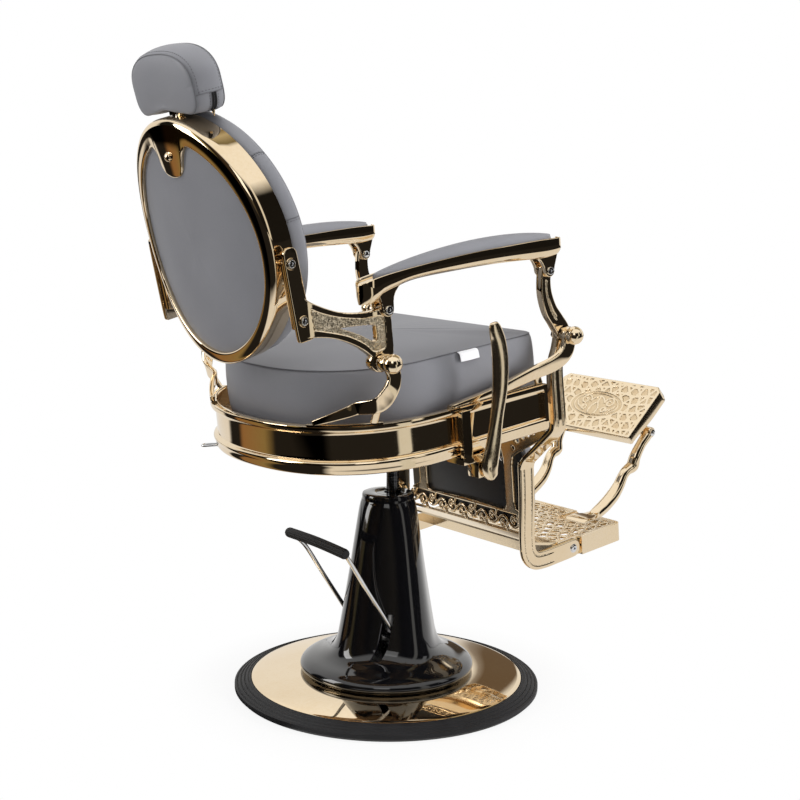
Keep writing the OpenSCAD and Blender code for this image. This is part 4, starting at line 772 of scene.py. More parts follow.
def new_recline_lever():
    x, u, v, w = -331, 24, -28, 12.6
    rows = [(u - 3, v - 20, w * .5, 160), (u - 2, v - 14, w * 1.02, 160), (u, v + 8, w * 1.36, 160),
            (12, 15, w * 1.22, 160), (-2, 70, w * 1.0, 157),
            (-13, 120, w * 1.13, 154), (-18, 170, w * 1.2, 154), (-17, 208, w * 1.17, 156), (-11, 236, w * .98, 158),
            (-8.5, 246, w * .62, 158)]
    blade = strap("blade", [(x, a, b, h, facing) for a, b, h, facing in rows], 11.5, sides=32, roundness=2.15,
                  steps=9)
    for vert in blade.data.vertices:
        # the handle's upper half swells towards its middle
        high = (vert.co.z - 0.60) / 0.2
        if 0 < high < 1.1:
            vert.co.x -= 0.0022 * math.sin(math.pi * min(high, 1)) * (1 if vert.co.x < x / 1000 else -0.4)
    pin = turned("pin", [(0, -336.5), (6, -336.5), (6, -327), (7, -327), (7, -293), (0, -293)], u, v)
    handle = joined("recline_handle_casting", [blade, pin])
    place_piece(handle, satin_gold, "recline_handle", ["recline_lever"])


new_recline_lever()


def chamfered(name, cad_name, bevel=0.0015, segments=2):
    """Copy of a CAD node with its hard edges rounded off."""
    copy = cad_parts[cad_name].copy()
    copy.data = copy.data.copy()
    copy.name, copy.parent = name, None
    bpy.context.scene.collection.objects.link(copy)
    b = bmesh.new()
    b.from_mesh(copy.data)
    bmesh.ops.remove_doubles(b, verts=b.verts, dist=1e-5)
    bmesh.ops.dissolve_limit(b, angle_limit=math.radians(4), verts=b.verts, edges=b.edges)
    b.to_mesh(copy.data)
    b.free()
    mod = copy.modifiers.new("edge", "BEVEL")
    mod.width, mod.segments, mod.limit_method, mod.angle_limit = bevel, segments, "ANGLE", math.radians(30)
    copy = baked(copy)
    smooth_by(copy, 35)
    return copy


place_piece(chamfered("lever_bracket_cast", "lever_bracket"), gold, "seat", ["lever_bracket"])
finish(chrome, cad("lever_bolts"))

# ---- Seat cushion ----
# A foam box cushion in grey coated leather-look cloth: a crowned top panel is sewn to a deep side
# band with a stitched seam, and the band is pulled under and stapled to the board.


def leather_grain():
    """Group: shallow pebble grain with soft creases, and slow unevenness of the colour."""
    g, start, end = new_group("leather grain", "ShaderNodeTree", {"Place": "Vector"},
                              {"Height": "Float", "Tone": "Float"})
    place = start["Place"]
    pebble = node(g, "ShaderNodeTexVoronoi", {"Vector": place, "Scale": 950.0},
                  feature="SMOOTH_F1").outputs["Distance"]
    g.links.new(maths(g, "MULTIPLY_ADD", noise(g, place, 420.0, 3.0), 0.6, pebble), end["Height"])
    slow, fine = noise(g, place, 7.0, 3.0), noise(g, place, 650.0, 2.0)
    g.links.new(maths(g, "MULTIPLY_ADD", fine, 0.35, maths(g, "MULTIPLY", slow, 0.65)), end["Tone"])
    return g


grain = leather_grain()


def new_leather(name, dark, pale, low, high, depth):
    m, t, shader, place = material(name)
    g = node(t, "ShaderNodeGroup", {"Place": place}, node_tree=grain).outputs
    looks(t, shader, g["Tone"], [(0.35, dark), (0.65, pale)], [(0.3, low), (0.7, high)], g["Height"], 0.45, depth)
    shader.inputs["Specular IOR Level"].default_value = 0.42
    return m


leather = new_leather("grey leather cloth", (0.186, 0.188, 0.206), (0.214, 0.216, 0.234), 0.42, 0.54, 0.00028)
# The seam cords are a darker grey than the leather cloth: painted shade in the creases along the seams.
seam_cord_painted_shade = new_leather("grey seam cord with painted shade", (0.11, 0.112, 0.122), (0.14, 0.142, 0.154), 0.5, 0.62, 0.0001)


def new_thread():
    m, t, shader, place = material("grey thread")
    looks(t, shader, noise(t, place, 1500.0, 2.0), [(0.3, (0.06, 0.06, 0.068)), (0.7, (0.11, 0.11, 0.12))],
          [(0.3, 0.7), (0.7, 0.85)])
    return m


thread = new_thread()


def run_of(points):
    """Distance run at each point of a line."""
    return np.concatenate([[0], np.cumsum(np.linalg.norm(np.diff(points, axis=0), axis=1))])


def even(points, n):
    """Closed outline resampled to n evenly spaced points."""
    p = np.array(points, float)
    p = np.vstack([p, p[:1]])
    run = run_of(p)
    at = np.linspace(0, run[-1], n + 1)[:-1]
    return np.stack([np.interp(at, run, p[:, k]) for k in range(p.shape[1])], axis=1)


def inset_plan(plan, d):
    """Closed plan outline moved inwards by d along its own normals."""
    t = np.roll(plan, -1, axis=0) - np.roll(plan, 1, axis=0)
    t /= np.linalg.norm(t, axis=1)[:, None]
    n = np.stack([-t[:, 1], t[:, 0]], axis=1)
    inward = np.sign(np.sum(n * (plan.mean(axis=0) - plan), axis=1).sum()) or 1
    return plan + n * d * inward


def inflated(o, cap, held, pressure=4.0):
    """Cloth filled with air and held where held(point) is true; no point moves further than cap."""
    frames, stiff = 20, 12.0
    scene = bpy.context.scene
    rest = [v.co.copy() for v in o.data.vertices]
    group = o.vertex_groups.new(name="held")
    group.add([v.index for v in o.data.vertices if held(v.co)], 1.0, "ADD")
    air = o.modifiers.new("air", "CLOTH")
    s = air.settings
    s.quality, s.mass, s.tension_stiffness, s.compression_stiffness, s.bending_stiffness = 5, 0.3, stiff, stiff, 1.5
    s.use_pressure, s.uniform_pressure_force, s.effector_weights.gravity = True, pressure, 0
    s.vertex_group_mass = "held"
    air.point_cache.frame_start, air.point_cache.frame_end = 1, frames
    for f in range(1, frames + 1):
        scene.frame_set(f)
    shape = o.evaluated_get(bpy.context.evaluated_depsgraph_get())
    moved = [v.co.copy() for v in shape.data.vertices]
    o.modifiers.remove(air)
    o.vertex_groups.remove(group)
    scene.frame_set(1)
    for v, a, b in zip(o.data.vertices, rest, moved):
        step = b - a
        v.co = a + step * (min(1.0, cap / step.length) if step.length > 0 else 0)
    # wide end faces are taken off for the subdivision and filled again after it
    b = bmesh.new()
    b.from_mesh(o.data)
    bmesh.ops.delete(b, geom=[f for f in b.faces if len(f.verts) > 8], context="FACES_ONLY")
    b.to_mesh(o.data)
    soft = o.modifiers.new("soft", "SUBSURF")
    soft.levels = soft.render_levels = 1
    o = baked(o)
    b.clear()
    b.from_mesh(o.data)
    bmesh.ops.holes_fill(b, edges=[e for e in b.edges if e.is_boundary], sides=0)
    bmesh.ops.recalc_face_normals(b, faces=b.faces)
    b.to_mesh(o.data)
    b.free()
    smooth_by(o, 75)
    return o


def stitch_tree():
    """Geometry Nodes: short rounded stitches laid along the edges of a mesh of lines."""
    g, start, end = new_group(
        "stitches", "GeometryNodeTree",
        {"Geometry": "Geometry", "Pitch": "Float", "Stitch length": "Float", "Thread radius": "Float",
         "Thread": "Material"},
        {"Geometry": "Geometry"})

    def first(kind, inputs=None, **settings):
        return node(g, kind, inputs, **settings).outputs[0]
    line = first("GeometryNodeMeshToCurve", {"Mesh": start["Geometry"]})
    spaced = first("GeometryNodeResampleCurve", {"Curve": line, "Length": start["Pitch"]}, mode="LENGTH")
    size = first("ShaderNodeCombineXYZ", {"X": start["Thread radius"], "Y": start["Thread radius"],
                                          "Z": maths(g, "MULTIPLY", start["Stitch length"], 0.5)})
    bead = first("GeometryNodeMeshUVSphere", {"Segments": 6, "Rings": 5, "Radius": 1.0})
    turn = first("FunctionNodeAlignRotationToVector", {"Vector": first("GeometryNodeInputTangent")}, axis="Z")
    laid = first("GeometryNodeInstanceOnPoints",
                 {"Points": spaced, "Instance": bead, "Rotation": turn, "Scale": size})
    real = first("GeometryNodeRealizeInstances", {0: laid})
    g.links.new(first("GeometryNodeSetMaterial", {"Geometry": real, "Material": start["Thread"]}), end[0])
    return g


stitch_nodes = stitch_tree()


def stitched(name, lines, body, pitch, length=0.0042, radius=0.00055, closed=True, paint=thread):
    """Rows of stitches along lines of points, as one plain mesh."""
    points, edges = [], []
    for line in lines:
        first = len(points)
        points += [tuple(p) for p in line]
        edges += [(first + i, first + i + 1) for i in range(len(line) - 1)]
        if closed:
            edges.append((len(points) - 1, first))
    mesh = bpy.data.meshes.new(name)
    mesh.from_pydata(points, edges, [])
    o = added(name, mesh)
    mod = o.modifiers.new("stitches", "NODES")
    mod.node_group = stitch_nodes
    values = {"Pitch": pitch, "Stitch length": length, "Thread radius": radius, "Thread": paint}
    for item in stitch_nodes.interface.items_tree:
        if item.in_out == "INPUT" and item.name in values:
            mod[item.identifier] = values[item.name]
    o = baked(o)
    smooth_by(o, 60)
    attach(o, body)
    return o


def new_seat_cushion():
    half, front, bow, corner, mid, low, crown = 262, 192, 214, 34, 98, 60.6, 207

    def rounded(x, start):
        """Quarter turn at a front corner, about a middle at x across."""
        return [(x + corner * math.cos(t), -front + corner + corner * math.sin(t))
                for t in np.linspace(start, start + math.pi / 2, 14)]
    plan = [(half * power(math.cos(t), 2.25), mid + bow * power(math.sin(t), 2.25))
            for t in np.linspace(0, math.pi, 120)]
    plan += [(-half, y) for y in np.linspace(mid - 10, -front + corner + 6, 24)] + rounded(-half + corner, math.pi)
    plan += [(x, -front) for x in np.linspace(-half + corner + 8, half - corner - 8, 40)]
    plan += rounded(half - corner,
                    1.5 * math.pi) + [(half, y) for y in np.linspace(-front + corner + 6, mid - 10, 24)]
    plan = even(plan, 216)
    # height and inset of the side band, pulled in at the seam, then the top panel
    side = [(low, 30), (low, 18), (61.4, 11), (64, 7), (69, 4.2), (80, 2), (98, .6), (122, -.2), (145, 0), (162, .8),
            (174, 2), (181, 3.4), (185, 4.8),
            (186.8, 6.0), (187.7, 7.8), (188.6, 7.9), (189.2, 6.9), (190.2, 7.6), (191.4, 9.6), (192.6, 12.6)]
    rows = [[seat_point(x, y, v) for x, y in inset_plan(plan, d)] for v, d in side]
    middle = 40

    def ring(d, s, v):
        return [seat_point(x * s, middle + (y - middle) * s, v) for x, y in inset_plan(plan, d)]
    rows += [ring(12.6, s, 192.6 + (crown - 192.6) * (1 - s ** 2.3))
             for s in (.93, .86, .78, .69, .59, .48, .37, .26, .15, .06)]
    base = [ring(30, s, low) for s in (.15, .5, .8)]
    cushion = inflated(grid_mesh("seat_cushion_cover", base + rows, cap=True), 0.005, seat_cushion_held)
    place_piece(cushion, leather, "seat", ["seat_cushion"])
    # the seam cord is darker grey, which is painted shade in the crease round the top panel
    place_piece(tube_loop("seat_seam", ring(7.2, 1, 188.3), 0.0007), seam_cord_painted_shade, "seat", ())
    stitched("seat_seam_stitches", [ring(6.3, 1, 188.6)], "seat", 0.0062, 0.0044, 0.0007)


def seat_frame(p):
    """How far a point lies to the rear in the tilted seat frame, and above its underside, in metres."""
    z = p.z - seat_low / 1000
    return p.y * math.cos(tilt) - z * math.sin(tilt), p.y * math.sin(tilt) + z * math.cos(tilt)


def seat_cushion_held(p):
    """The cushion is held by its lowest edge and by the seam round its top panel."""
    u, v = seat_frame(p)
    return v < 0.070 or (0.1862 < v < 0.1906 and (abs(p.x) > 0.235 or u < -0.16 or u > 0.20))


def tube_loop(name, points, radius, sides=8):
    """Closed round cord through points."""
    rows = []
    for i, p in enumerate(points):
        d = (points[(i + 1) % len(points)] - points[i - 1]).normalized()
        side = d.cross(Vector((0, 0, 1)))
        side = (side if side.length > 0.1 else d.cross(Vector((0, 1, 0)))).normalized()
        other = d.cross(side)
        rows.append([p + (side * math.cos(a) + other * math.sin(a)) * radius for a in circle(sides)])
    return grid_mesh(name, rows, closed_v=True)


new_seat_cushion()

# ---- Cloth tab ----
# A bare woven tab, folded once and sewn into the side seam of the cushion.


def new_tab_cloth():
    m, t, shader, place = material("white woven tape")
    weave = node(t, "ShaderNodeTexChecker", {"Vector": place, "Scale": 1600.0, "Color1": (0.86, 0.86, 0.88, 1),
                                             "Color2": (0.76, 0.76, 0.79, 1)}).outputs
    t.links.new(weave[0], shader.inputs["Base Color"])
    looks(t, shader, weave[1], None, [(0.0, 0.7), (1.0, 0.85)], weave[1], 0.3, 0.0002)
    return m


def new_tab():
    rows = []
    for u in np.linspace(-25, 22, 14):
        lift = 1.6 * math.sin((u + 25) / 47 * math.pi)
        section = ((256.6, 0, 188.6), (261.5, 0, 187.6), (264.6, .3, 184), (266.2, .6, 178), (267.2, 1, 171.2),
                   (266.4, 1, 170.6), (265.4, .6, 177.6), (263.8, .3, 183.4), (261.0, 0, 186.6), (256.6, 0, 187.8))
        rows.append([seat_point(-x - lift * share, u, v) for x, share, v in section])
    tab = grid_mesh("bare_cloth_tab", rows, cap=True)
    place_piece(tab, new_tab_cloth(), "seat", ["blank_tag"])


new_tab()

# ---- Back shell ----
# A deep pressed and plated oval dish; its rounded rear ring has a tongue at the top that covers
# the headrest guide and takes the domed clamp screw.

back_a, back_b, shell_d, back_bend = 208, 233, 50, 29
opening_a, opening_b, opening_s = back_a - 23, back_b - 32, -7.6
# the back leans on the seat frame, about a middle at u and v in that frame
lean, back_u, back_v = math.radians(9), 421, 435


def back_flat(x, y, s):
    """Point of the back's own straight frame, in millimetres, to metres."""
    return seat_point(x, back_u + y * math.cos(lean) + s * math.sin(lean),
                      back_v - y * math.sin(lean) + s * math.cos(lean))


def back_point(x, s, d):
    """Point at x across, s up the back and d forward of its rear face, curved round the sitter; mm to metres."""
    return back_flat(x, -(d + back_bend * (x / back_a) ** 2), s)


def back_frame(p):
    """How far up the back a point lies, and how far forward of its curved rear face, in metres."""
    u, v = seat_frame(p)
    u, v = u - back_u / 1000, v - back_v / 1000
    depth = -(u * math.cos(lean) - v * math.sin(lean)) - 0.029 * (p.x / 0.208) ** 2
    return u * math.sin(lean) + v * math.cos(lean), depth


def oval(a, b, d):
    """Ring of points at depth d round the opening's middle, with half width a and half height b."""
    return [back_point(a * math.cos(t), opening_s + b * math.sin(t), d) for t in circle(128)]


def new_shell():
    root = 66
    half = [(root, opening_s + opening_b * math.sqrt(1 - (root / opening_a) ** 2)), (54, 180.5), (43, 171), (36, 155),
            (32.5, 143),
            (24, 131.5), (12, 126.8)]
    start = math.acos(root / opening_a)
    inner = [tuple(p) for p in spline(half + [(0, 125.5)] + [(-x, s) for x, s in half[::-1]], 5)]
    inner += [(opening_a * math.cos(t), opening_s + opening_b * math.sin(t))
              for t in np.linspace(math.pi - start, 2 * math.pi + start, 190)[1:-1]]
    section = [("o", 3, 50), ("o", .7, 50), ("o", 0, 49.2), ("o", 0, 30), ("o", 0, 15), ("o", .3, 10.5),
               ("o", 1.3, 6.8), ("o", 3.2, 3.6), ("o", 6, 1.5),
               ("o", 9.5, .4), ("o", 13, 0), ("i", 5.5, 0), ("i", 3, .4), ("i", 1.1, 1.4), ("i", .2, 3), ("i", 0, 5),
               ("i", 0, 9.2), ("i", 2, 9.4),
               ("o", 9, 9.4), ("o", 4.2, 10.5), ("o", 3, 13), ("o", 3, 30)]
    rows = []
    for x, s in inner:
        t = math.atan2(s / back_b, x / back_a)
        edge = Vector((back_a * math.cos(t), back_b * math.sin(t)))
        inside = Vector((x, s))
        way = (inside - edge).normalized()
        spots = [(edge + way * w if side == "o" else inside - way * w, d) for side, w, d in section]
        rows.append([back_point(p.x, p.y, d) for p, d in spots])
    place_piece(grid_mesh("back_shell_pressing", rows, closed_v=True), gold, "back", ["back_shell"])
    r = 8.2
    dome = [(0, 9), (4, 9), (4, .5), (9.2, .5), (9.2, -.6),
            (8.2, -1.2)] + [(r * math.cos(a), -1.4 - 6.2 * math.sin(a)) for a in np.linspace(0, math.pi / 2, 12)]
    axis = back_flat(0, 1, 165) - back_flat(0, 0, 165)
    screw = lathe("headrest_clamp_screw", [(q / 1000, -h / 1000) for q, h in dome], back_flat(0, 0, 165), axis, 40)
    place_piece(screw, gold, "back", ["guide_screw"])


new_shell()

# ---- Back pads ----
# A thin upholstered panel closes the dish behind, and a deep oval cushion fills it in front; the
# cushion's side band is joined by three short cross seams, and piping runs round its face.


def new_back_panel():
    a, b = opening_a + 9, opening_b + 9
    rows = [oval(a * s, b * s, 9.6 - 6.4 * (1 - s ** 2.6)) for s in (.06, .2, .36, .52, .66, .78, .87, .93, .97, 1)]
    rows += [oval(a * s, b * s, 22) for s in (1, .9, .5)]
    panel = inflated(grid_mesh("rear_panel_cover", rows, cap=True), 0.0012, rear_panel_held)
    place_piece(panel, leather, "back", ["back_panel"])


def rear_panel_held(p):
    """The panel is held by its border and by everything behind its face."""
    s, depth = back_frame(p)
    return not ((p.x / 0.185) ** 2 + ((s + 0.0076) / 0.201) ** 2 < 0.92 and depth < 0.014)


new_back_panel()


def lowered(x, s, d):
    """The lower end of the cushion is thinner, to clear the seat when the back goes down."""
    t = max(0, (-s - 0.62 * back_b) / (0.38 * back_b))
    return back_point(x, s + t * t * 6, d - t * t * max(0, d - shell_d - 14) * 0.9)


def new_back_cushion():
    a, b = back_a - 4, back_b - 4

    def ring(drawn, d, s=1, point=lowered):
        return [point((a - drawn) * s * math.cos(t), (b - drawn) * s * math.sin(t), d) for t in circle(200)]
    # how far the side is drawn in, and its depth
    side = [(8, 30), (3, 34), (.6, 42), (0, 49), (-1.5, 50.8), (-4.5, 53), (-6.6, 58), (-7.4, 64), (-7, 70),
            (-5, 75.5), (-1.8, 79.5), (1.6, 82.4),
            (3.4, 84), (4.6, 85.4), (6.6, 85.6), (7.2, 86.8), (9.5, 88.6), (13, 90.6)]
    rows = [ring(8, 30, s, back_point) for s in (.15, .5, .85)] + [ring(*at) for at in side]
    edge, crown = 90.6, 111
    rows += [ring(13, edge + (crown - edge) * (1 - s ** 2.2), s)
             for s in (.93, .86, .78, .69, .59, .48, .37, .26, .15, .05)]
    cushion = inflated(grid_mesh("back_cushion_cover", rows, cap=True), 0.004, back_cushion_held)
    place_piece(cushion, leather, "back", ["back_cushion"])
    place_piece(tube_loop("back_piping", ring(5.6, 85.6), 0.0022, 10), leather, "back", ())
    stitched("back_piping_stitches", [ring(9.8, 89.6)], "back", 0.006)

    def across_band(t):
        return [lowered((a - i + .25) * math.cos(t), (b - i + .25) * math.sin(t), d) for i, d in side[3:13]]
    angles = [math.radians(degrees) for degrees in (43.5, 8.5, 140, 172)]
    seams = [tube("seam", across_band(t), 0.0009, 8, start=Vector((0, 0, 1))) for t in angles]
    # the cross seams are darker grey, which is painted shade in their creases
    place_piece(joined("back_side_seams", seams), seam_cord_painted_shade, "back", ())
    beside = 0.004 / 0.21
    stitched("back_side_stitches", [across_band(t + beside) for t in angles], "back", 0.0055, 0.0036, 0.00045,
             closed=False)


def back_cushion_held(p):
    """The cushion is held inside the dish and by its piped edge."""
    depth = back_frame(p)[1]
    return depth < 0.052 or 0.0838 < depth < 0.0870


new_back_cushion()

# ---- Headrest ----
# A D-shaped foam block in a sewn cover: piped edges, double-stitched side band with a lower cross
# seam, and a black zip beside the stem; the flat chromed stem slides in the guide behind the tongue.

head_half, head_high, head_rear, head_low = 112, 126, -22, back_b - 2


def head_point(t, q, d):
    """Point on the headrest's outline at angle t, scaled by q about its middle, d forward of its rear."""
    c, w = math.cos(t), math.sin(t)
    outer = min(1, max(0, (q - .3) / .6))
    n = 2.4 if w > 0 else 2.4 + 1.8 * outer
    hollow = 0 if w > 0 else 0.25 * outer * max(0, 1 - abs(c) * 1.4) ** 1.3
    drop = 0.45 * (1 - q) * max(0, 1 - d / 31)
    return back_flat(head_half * q * power(c, n), head_rear - d,
                     head_low - 5 + head_high / 2 * (1 - drop + q * (power(w, n) + hollow)))


def head_turn(n):
    """Angles that space the outline evenly."""
    dense = np.linspace(0, 2 * math.pi, 2401)
    run = run_of(np.array([tuple(head_point(t, 1, 0)) for t in dense]))
    return np.interp(np.linspace(0, run[-1], n + 1)[:-1], run, dense)


def new_headrest():
    turn = head_turn(168)
    rows = [(.05, -6.8), (.2, -6.8), (.36, -6.6), (.52, -6.2), (.66, -5.6), (.77, -4.6), (.84, -3.4), (.878, -2),
            (.897, -.4), (.896, 1), (.91, 1.8), (.93, 3.6),
            (.955, 8), (.985, 18), (1.006, 28), (1.012, 36), (1.010, 43), (1.002, 48), (.988, 51.5), (.972, 53.6),
            (.958, 54.8), (.955, 56), (.935, 58.6), (.88, 62), (.8, 64.8),
            (.68, 67.2), (.54, 68.8), (.38, 69.6), (.2, 70), (.05, 70)]
    pad = grid_mesh("headrest_cover", [[head_point(t, q, d) for t in turn] for q, d in rows], cap=True)
    pad = inflated(pad, 0.0025, lambda p: False, pressure=2.5)
    place_piece(pad, leather, "headrest", ["headrest_cushion"])
    lines = [tube_loop("edge", [head_point(t, q + .004, d) for t in turn], 0.0011) for q,
             d in ((.898, .4), (.963, 55.2))]
    band = ((.915, 2), (.935, 4), (.960, 8.5), (.989, 18), (1.010, 28), (1.017, 37), (1.013, 44), (1.000, 50),
            (.975, 54))
    for degrees in (186, -6):
        cross = [head_point(math.radians(degrees), q, d) for q, d in band]
        lines.append(tube("cross", cross, 0.0009, 8, start=Vector((0, 0, 1))))
    # the piped edges and cross seams are darker grey, which is painted shade along the seams
    place_piece(joined("headrest_seams", lines), seam_cord_painted_shade, "headrest", ())
    upper = [t for t in turn if -0.10 < t < math.pi + .10 or t > 2 * math.pi - .10]
    upper.sort(key=lambda t: (t + .2) % (2 * math.pi))
    rings = [[head_point(t, .9455, 6.0) for t in upper], [head_point(t, .992, 50.6) for t in upper],
             [head_point(math.radians(183.5), q, d) for q,
              d in ((.95, 6.6), (.973, 13.5), (.993, 21), (1.011, 30), (1.015, 38), (1.011, 44), (.998, 49.5))]]
    stitched("headrest_stitches", rings, "headrest", 0.0058, 0.0038, closed=False)


new_headrest()


def new_zip():
    m, t, shader, place = material("black zip tape")
    weave = node(t, "ShaderNodeTexWave", {"Vector": place, "Scale": 420.0, "Distortion": 0.4},
                 bands_direction="Z").outputs[1]
    looks(t, shader, weave, [(0.2, (0.006, 0.006, 0.007)), (0.8, (0.02, 0.02, 0.022))], [(0.2, 0.55), (0.8, 0.7)],
          weave, 0.5, 0.0004)
    turn = np.radians(np.linspace(186.5, 224, 24))
    tapes = []
    for d0, d1 in ((26.5, 30.6), (32.4, 36.5)):
        rows = [[head_point(t, q, d) for q, d in ((1.012, d0), (1.024, d0 + .5), (1.030, (d0 + d1) / 2),
                                                  (1.024, d1 - .5), (1.012, d1))] for t in turn]
        tapes.append(grid_mesh("tape", rows, cap=True))
    place_piece(joined("headrest_zip_tapes", tapes), m, "headrest", ["headrest_zip"])
    stitched("headrest_zip_teeth", [[head_point(t, 1.024, 31.5) for t in turn]], "headrest", 0.0022, 0.0011, 0.0011,
             closed=False,
             paint=m)
    edges = [[head_point(t, .999, 23.4) for t in turn], [head_point(t, 1.0135, 39.6) for t in turn]]
    stitched("headrest_zip_stitches", edges, "headrest", 0.005, 0.0034, 0.0005, closed=False)
    end = head_point(math.radians(225), 1.03, 31.5)
    pull = lathe("pull", [(0.0016, -.0009), (.0036, -.0009), (.0042, -.0003), (.0042, .0004), (.0036, .0009),
                          (.0016, .0009)], end + Vector((-.002, 0, -.005)),
                 (0.3, 1, 0), 28)
    slider = lathe("slider", [(0, -.004), (.0026, -.0035), (.0032, 0), (.0026, .0035), (0, .004)], end, (0, 0.2, 1),
                   20)
    place_piece(joined("headrest_zip_puller", [pull, slider]), gold, "headrest", ())


new_zip()


def new_stem():
    """Flat stem with rounded edges, and the round lock button beside it on the guide."""
    low, high = head_low - 130, head_low + 60
    corner = [(12, 2), (11.4, 2.8), (10.6, 3)]
    upper = corner + [(-x, y) for x, y in corner[::-1]]
    ring = upper + [(x, -y) for x, y in upper[::-1]]
    rows = [[back_flat(x, -32 + y, s) for x, y in ring] for s in np.linspace(low, high, 12)]
    place_piece(grid_mesh("headrest_stem_bar", rows, cap=True), chrome, "headrest", ["headrest_stem"])
    finish(chrome, cad("headrest_guide"))
    at = back_flat(-22, -32, back_b + 1.5)
    profile = [(0, -.012), (.0045, -.012), (.0045, .004), (.0062, .0045), (.0062, .0075), (.005, .0098),
               (.0026, .0110), (0, .0114)]
    knob = lathe("lock_button", profile, at, back_flat(-1, 0, .6) - back_flat(0, 0, 0), 28)
    place_piece(knob, gold, "back", ())


new_stem()
# ---- Side castings ----
# Each casting is bolted to the side of the shell by its strap, bends out and ends at the main
# pivot: a polished border round a sunk pebbled field, pierced by a triangular window.


def seat_points(x, u, v):
    """Arrays of seat frame millimetres to rows of points in metres."""
    y, z = u * math.cos(tilt) + v * math.sin(tilt), -u * math.sin(tilt) + v * math.cos(tilt) + seat_low
    return np.stack([x, y, z], axis=1) / 1000


def curve(points, steps):
    return [tuple(p) for p in spline(points, steps)]


def flat_at(v):
    """Plate face at one height."""
    return lambda x, y: v + 0 * x


def line_gap(points, x, y, closed=False):
    """Distance to a line of points."""
    p = np.array(points, float)
    best = np.full(np.shape(x), 1e9)
    for (ax, ay), (bx, by) in zip(p if closed else p[:-1], np.roll(p, -1, axis=0)):
        ex, ey, wx, wy = bx - ax, by - ay, x - ax, y - ay
        s = np.clip((wx * ex + wy * ey) / max(ex * ex + ey * ey, 1e-9), 0, 1)
        best = np.minimum(best, np.hypot(wx - ex * s, wy - ey * s))
    return best


def shape_gap(points, x, y):
    """Signed distance to a closed outline, positive inside it."""
    p = np.array(points, float)
    inside = np.zeros(np.shape(x), bool)
    for (ax, ay), (bx, by) in zip(p, np.roll(p, -1, axis=0)):
        inside ^= ((ay > y) != (by > y)) & (x < ax + (bx - ax) * (y - ay) / (by - ay if by != ay else 1e-9))
    best = line_gap(points, x, y, True)
    return np.where(inside, best, -best)


def ease(value, low, high):
    t = np.clip((value - low) / (high - low), 0, 1)
    return t * t * (3 - 2 * t)


def relief_plate(name, inside, bounds, pitch, upper, lower, place, rim, marked=None, lower_rim=None):
    """Plate where inside(x, y) > 0, between two heights, its rims rounded; faces where marked(x, y)
    is positive take the second material. place(x, y, h) gives the seat frame coordinates."""
    x0, x1, y0, y1 = bounds
    nx, ny = round((x1 - x0) / pitch), round((y1 - y0) / pitch)
    gx, gy = [g.ravel() for g in np.meshgrid(np.linspace(x0, x1, nx + 1), np.linspace(y0, y1, ny + 1))]
    value = inside(gx, gy)
    # grid points that fall beside the rim are taken as on it, so that no slivers form
    value = np.where(np.abs(value) < pitch * 0.06, pitch * 0.06, value)
    px, py, cuts, faces, wide = list(gx), list(gy), {}, [], nx + 1

    def cut(a, b):
        key = (min(a, b), max(a, b))
        if key not in cuts:
            s = value[a] / (value[a] - value[b])
            cuts[key] = len(px)
            px.append(px[a] + (px[b] - px[a]) * s)
            py.append(py[a] + (py[b] - py[a]) * s)
        return cuts[key]
    for j in range(ny):
        for i in range(nx):
            a = j * wide + i
            ring = (a, a + 1, a + wide + 1, a + wide)
            full = sum(value[k] > 0 for k in ring)
            if full == 4:
                faces.append(ring)
            elif full:
                for tri in ((ring[0], ring[1], ring[2]), (ring[0], ring[2], ring[3])):
                    part = []
                    for p, q in zip(tri, tri[1:] + tri[:1]):
                        if value[p] > 0:
                            part.append(p)
                        if (value[p] > 0) != (value[q] > 0):
                            part.append(cut(p, q))
                    if len(part) > 2:
                        faces.append(tuple(part))
    used = sorted({k for f in faces for k in f})
    number = {k: i for i, k in enumerate(used)}
    faces = [tuple(number[k] for k in f) for f in faces]
    x, y = np.array([px[k] for k in used]), np.array([py[k] for k in used])
    gap = np.clip(inside(x, y), 0, None)

    def fall(r):
        return r * (1 - np.sqrt(np.clip(1 - (1 - np.clip(gap / r, 0, 1)) ** 2, 0, 1))) if r else 0
    high, low = upper(x, y) - fall(rim), lower(x, y) + fall(rim if lower_rim is None else lower_rim)
    points = np.vstack([seat_points(*place(x, y, high)), seat_points(*place(x, y, low))])
    n, edges = len(used), {}
    for f in faces:
        for a, b in zip(f, f[1:] + f[:1]):
            edges[(a, b)] = edges.get((a, b), 0) + 1
    walls = [(b, a, a + n, b + n) for a, b in edges if (b, a) not in edges]
    under = [tuple(k + n for k in reversed(f)) for f in faces]
    mesh = bpy.data.meshes.new(name)
    mesh.from_pydata([tuple(p) for p in points], [], faces + under + walls)
    if marked:
        middle = np.array([[x[list(f)].mean(), y[list(f)].mean()] for f in faces])
        marks = (marked(middle[:, 0], middle[:, 1]) > 0).astype(int)
        for face, mark in zip(mesh.polygons, marks):
            face.material_index = int(mark)
    return whole(name, mesh, 50)


def socket_screw(name, at, axis, radius, height, hexagon, shank):
    """Cap screw with a hexagon socket; the head rises from at along axis (millimetres)."""
    z = Vector(axis).normalized()
    x = z.orthogonal().normalized()
    y = z.cross(x)
    rows = []
    for a in circle(60):
        h = hexagon * math.cos(math.pi / 6) / math.cos((a % (math.pi / 3)) - math.pi / 6)
        profile = [(0.01, height - 2.4), (h * .96, height - 2.4), (h, height - .3), (h * 1.1, height),
                   (radius * .86, height),
                   (radius * .97, height - .35), (radius, height - .9), (radius, 0), (radius * .6, 0),
                   (radius * .6, -shank), (0.01, -shank)]
        rows.append([Vector(at) + (z * v + (x * math.cos(a) + y * math.sin(a)) * q) / 1000 for q, v in profile])
    return grid_mesh(name, rows, closed_v=True)


strip_x, strip_bolts = 232, ((365, 407), (349, 303))
rear_pin, front_pin = (215.6, 307), (-187.8, 315)


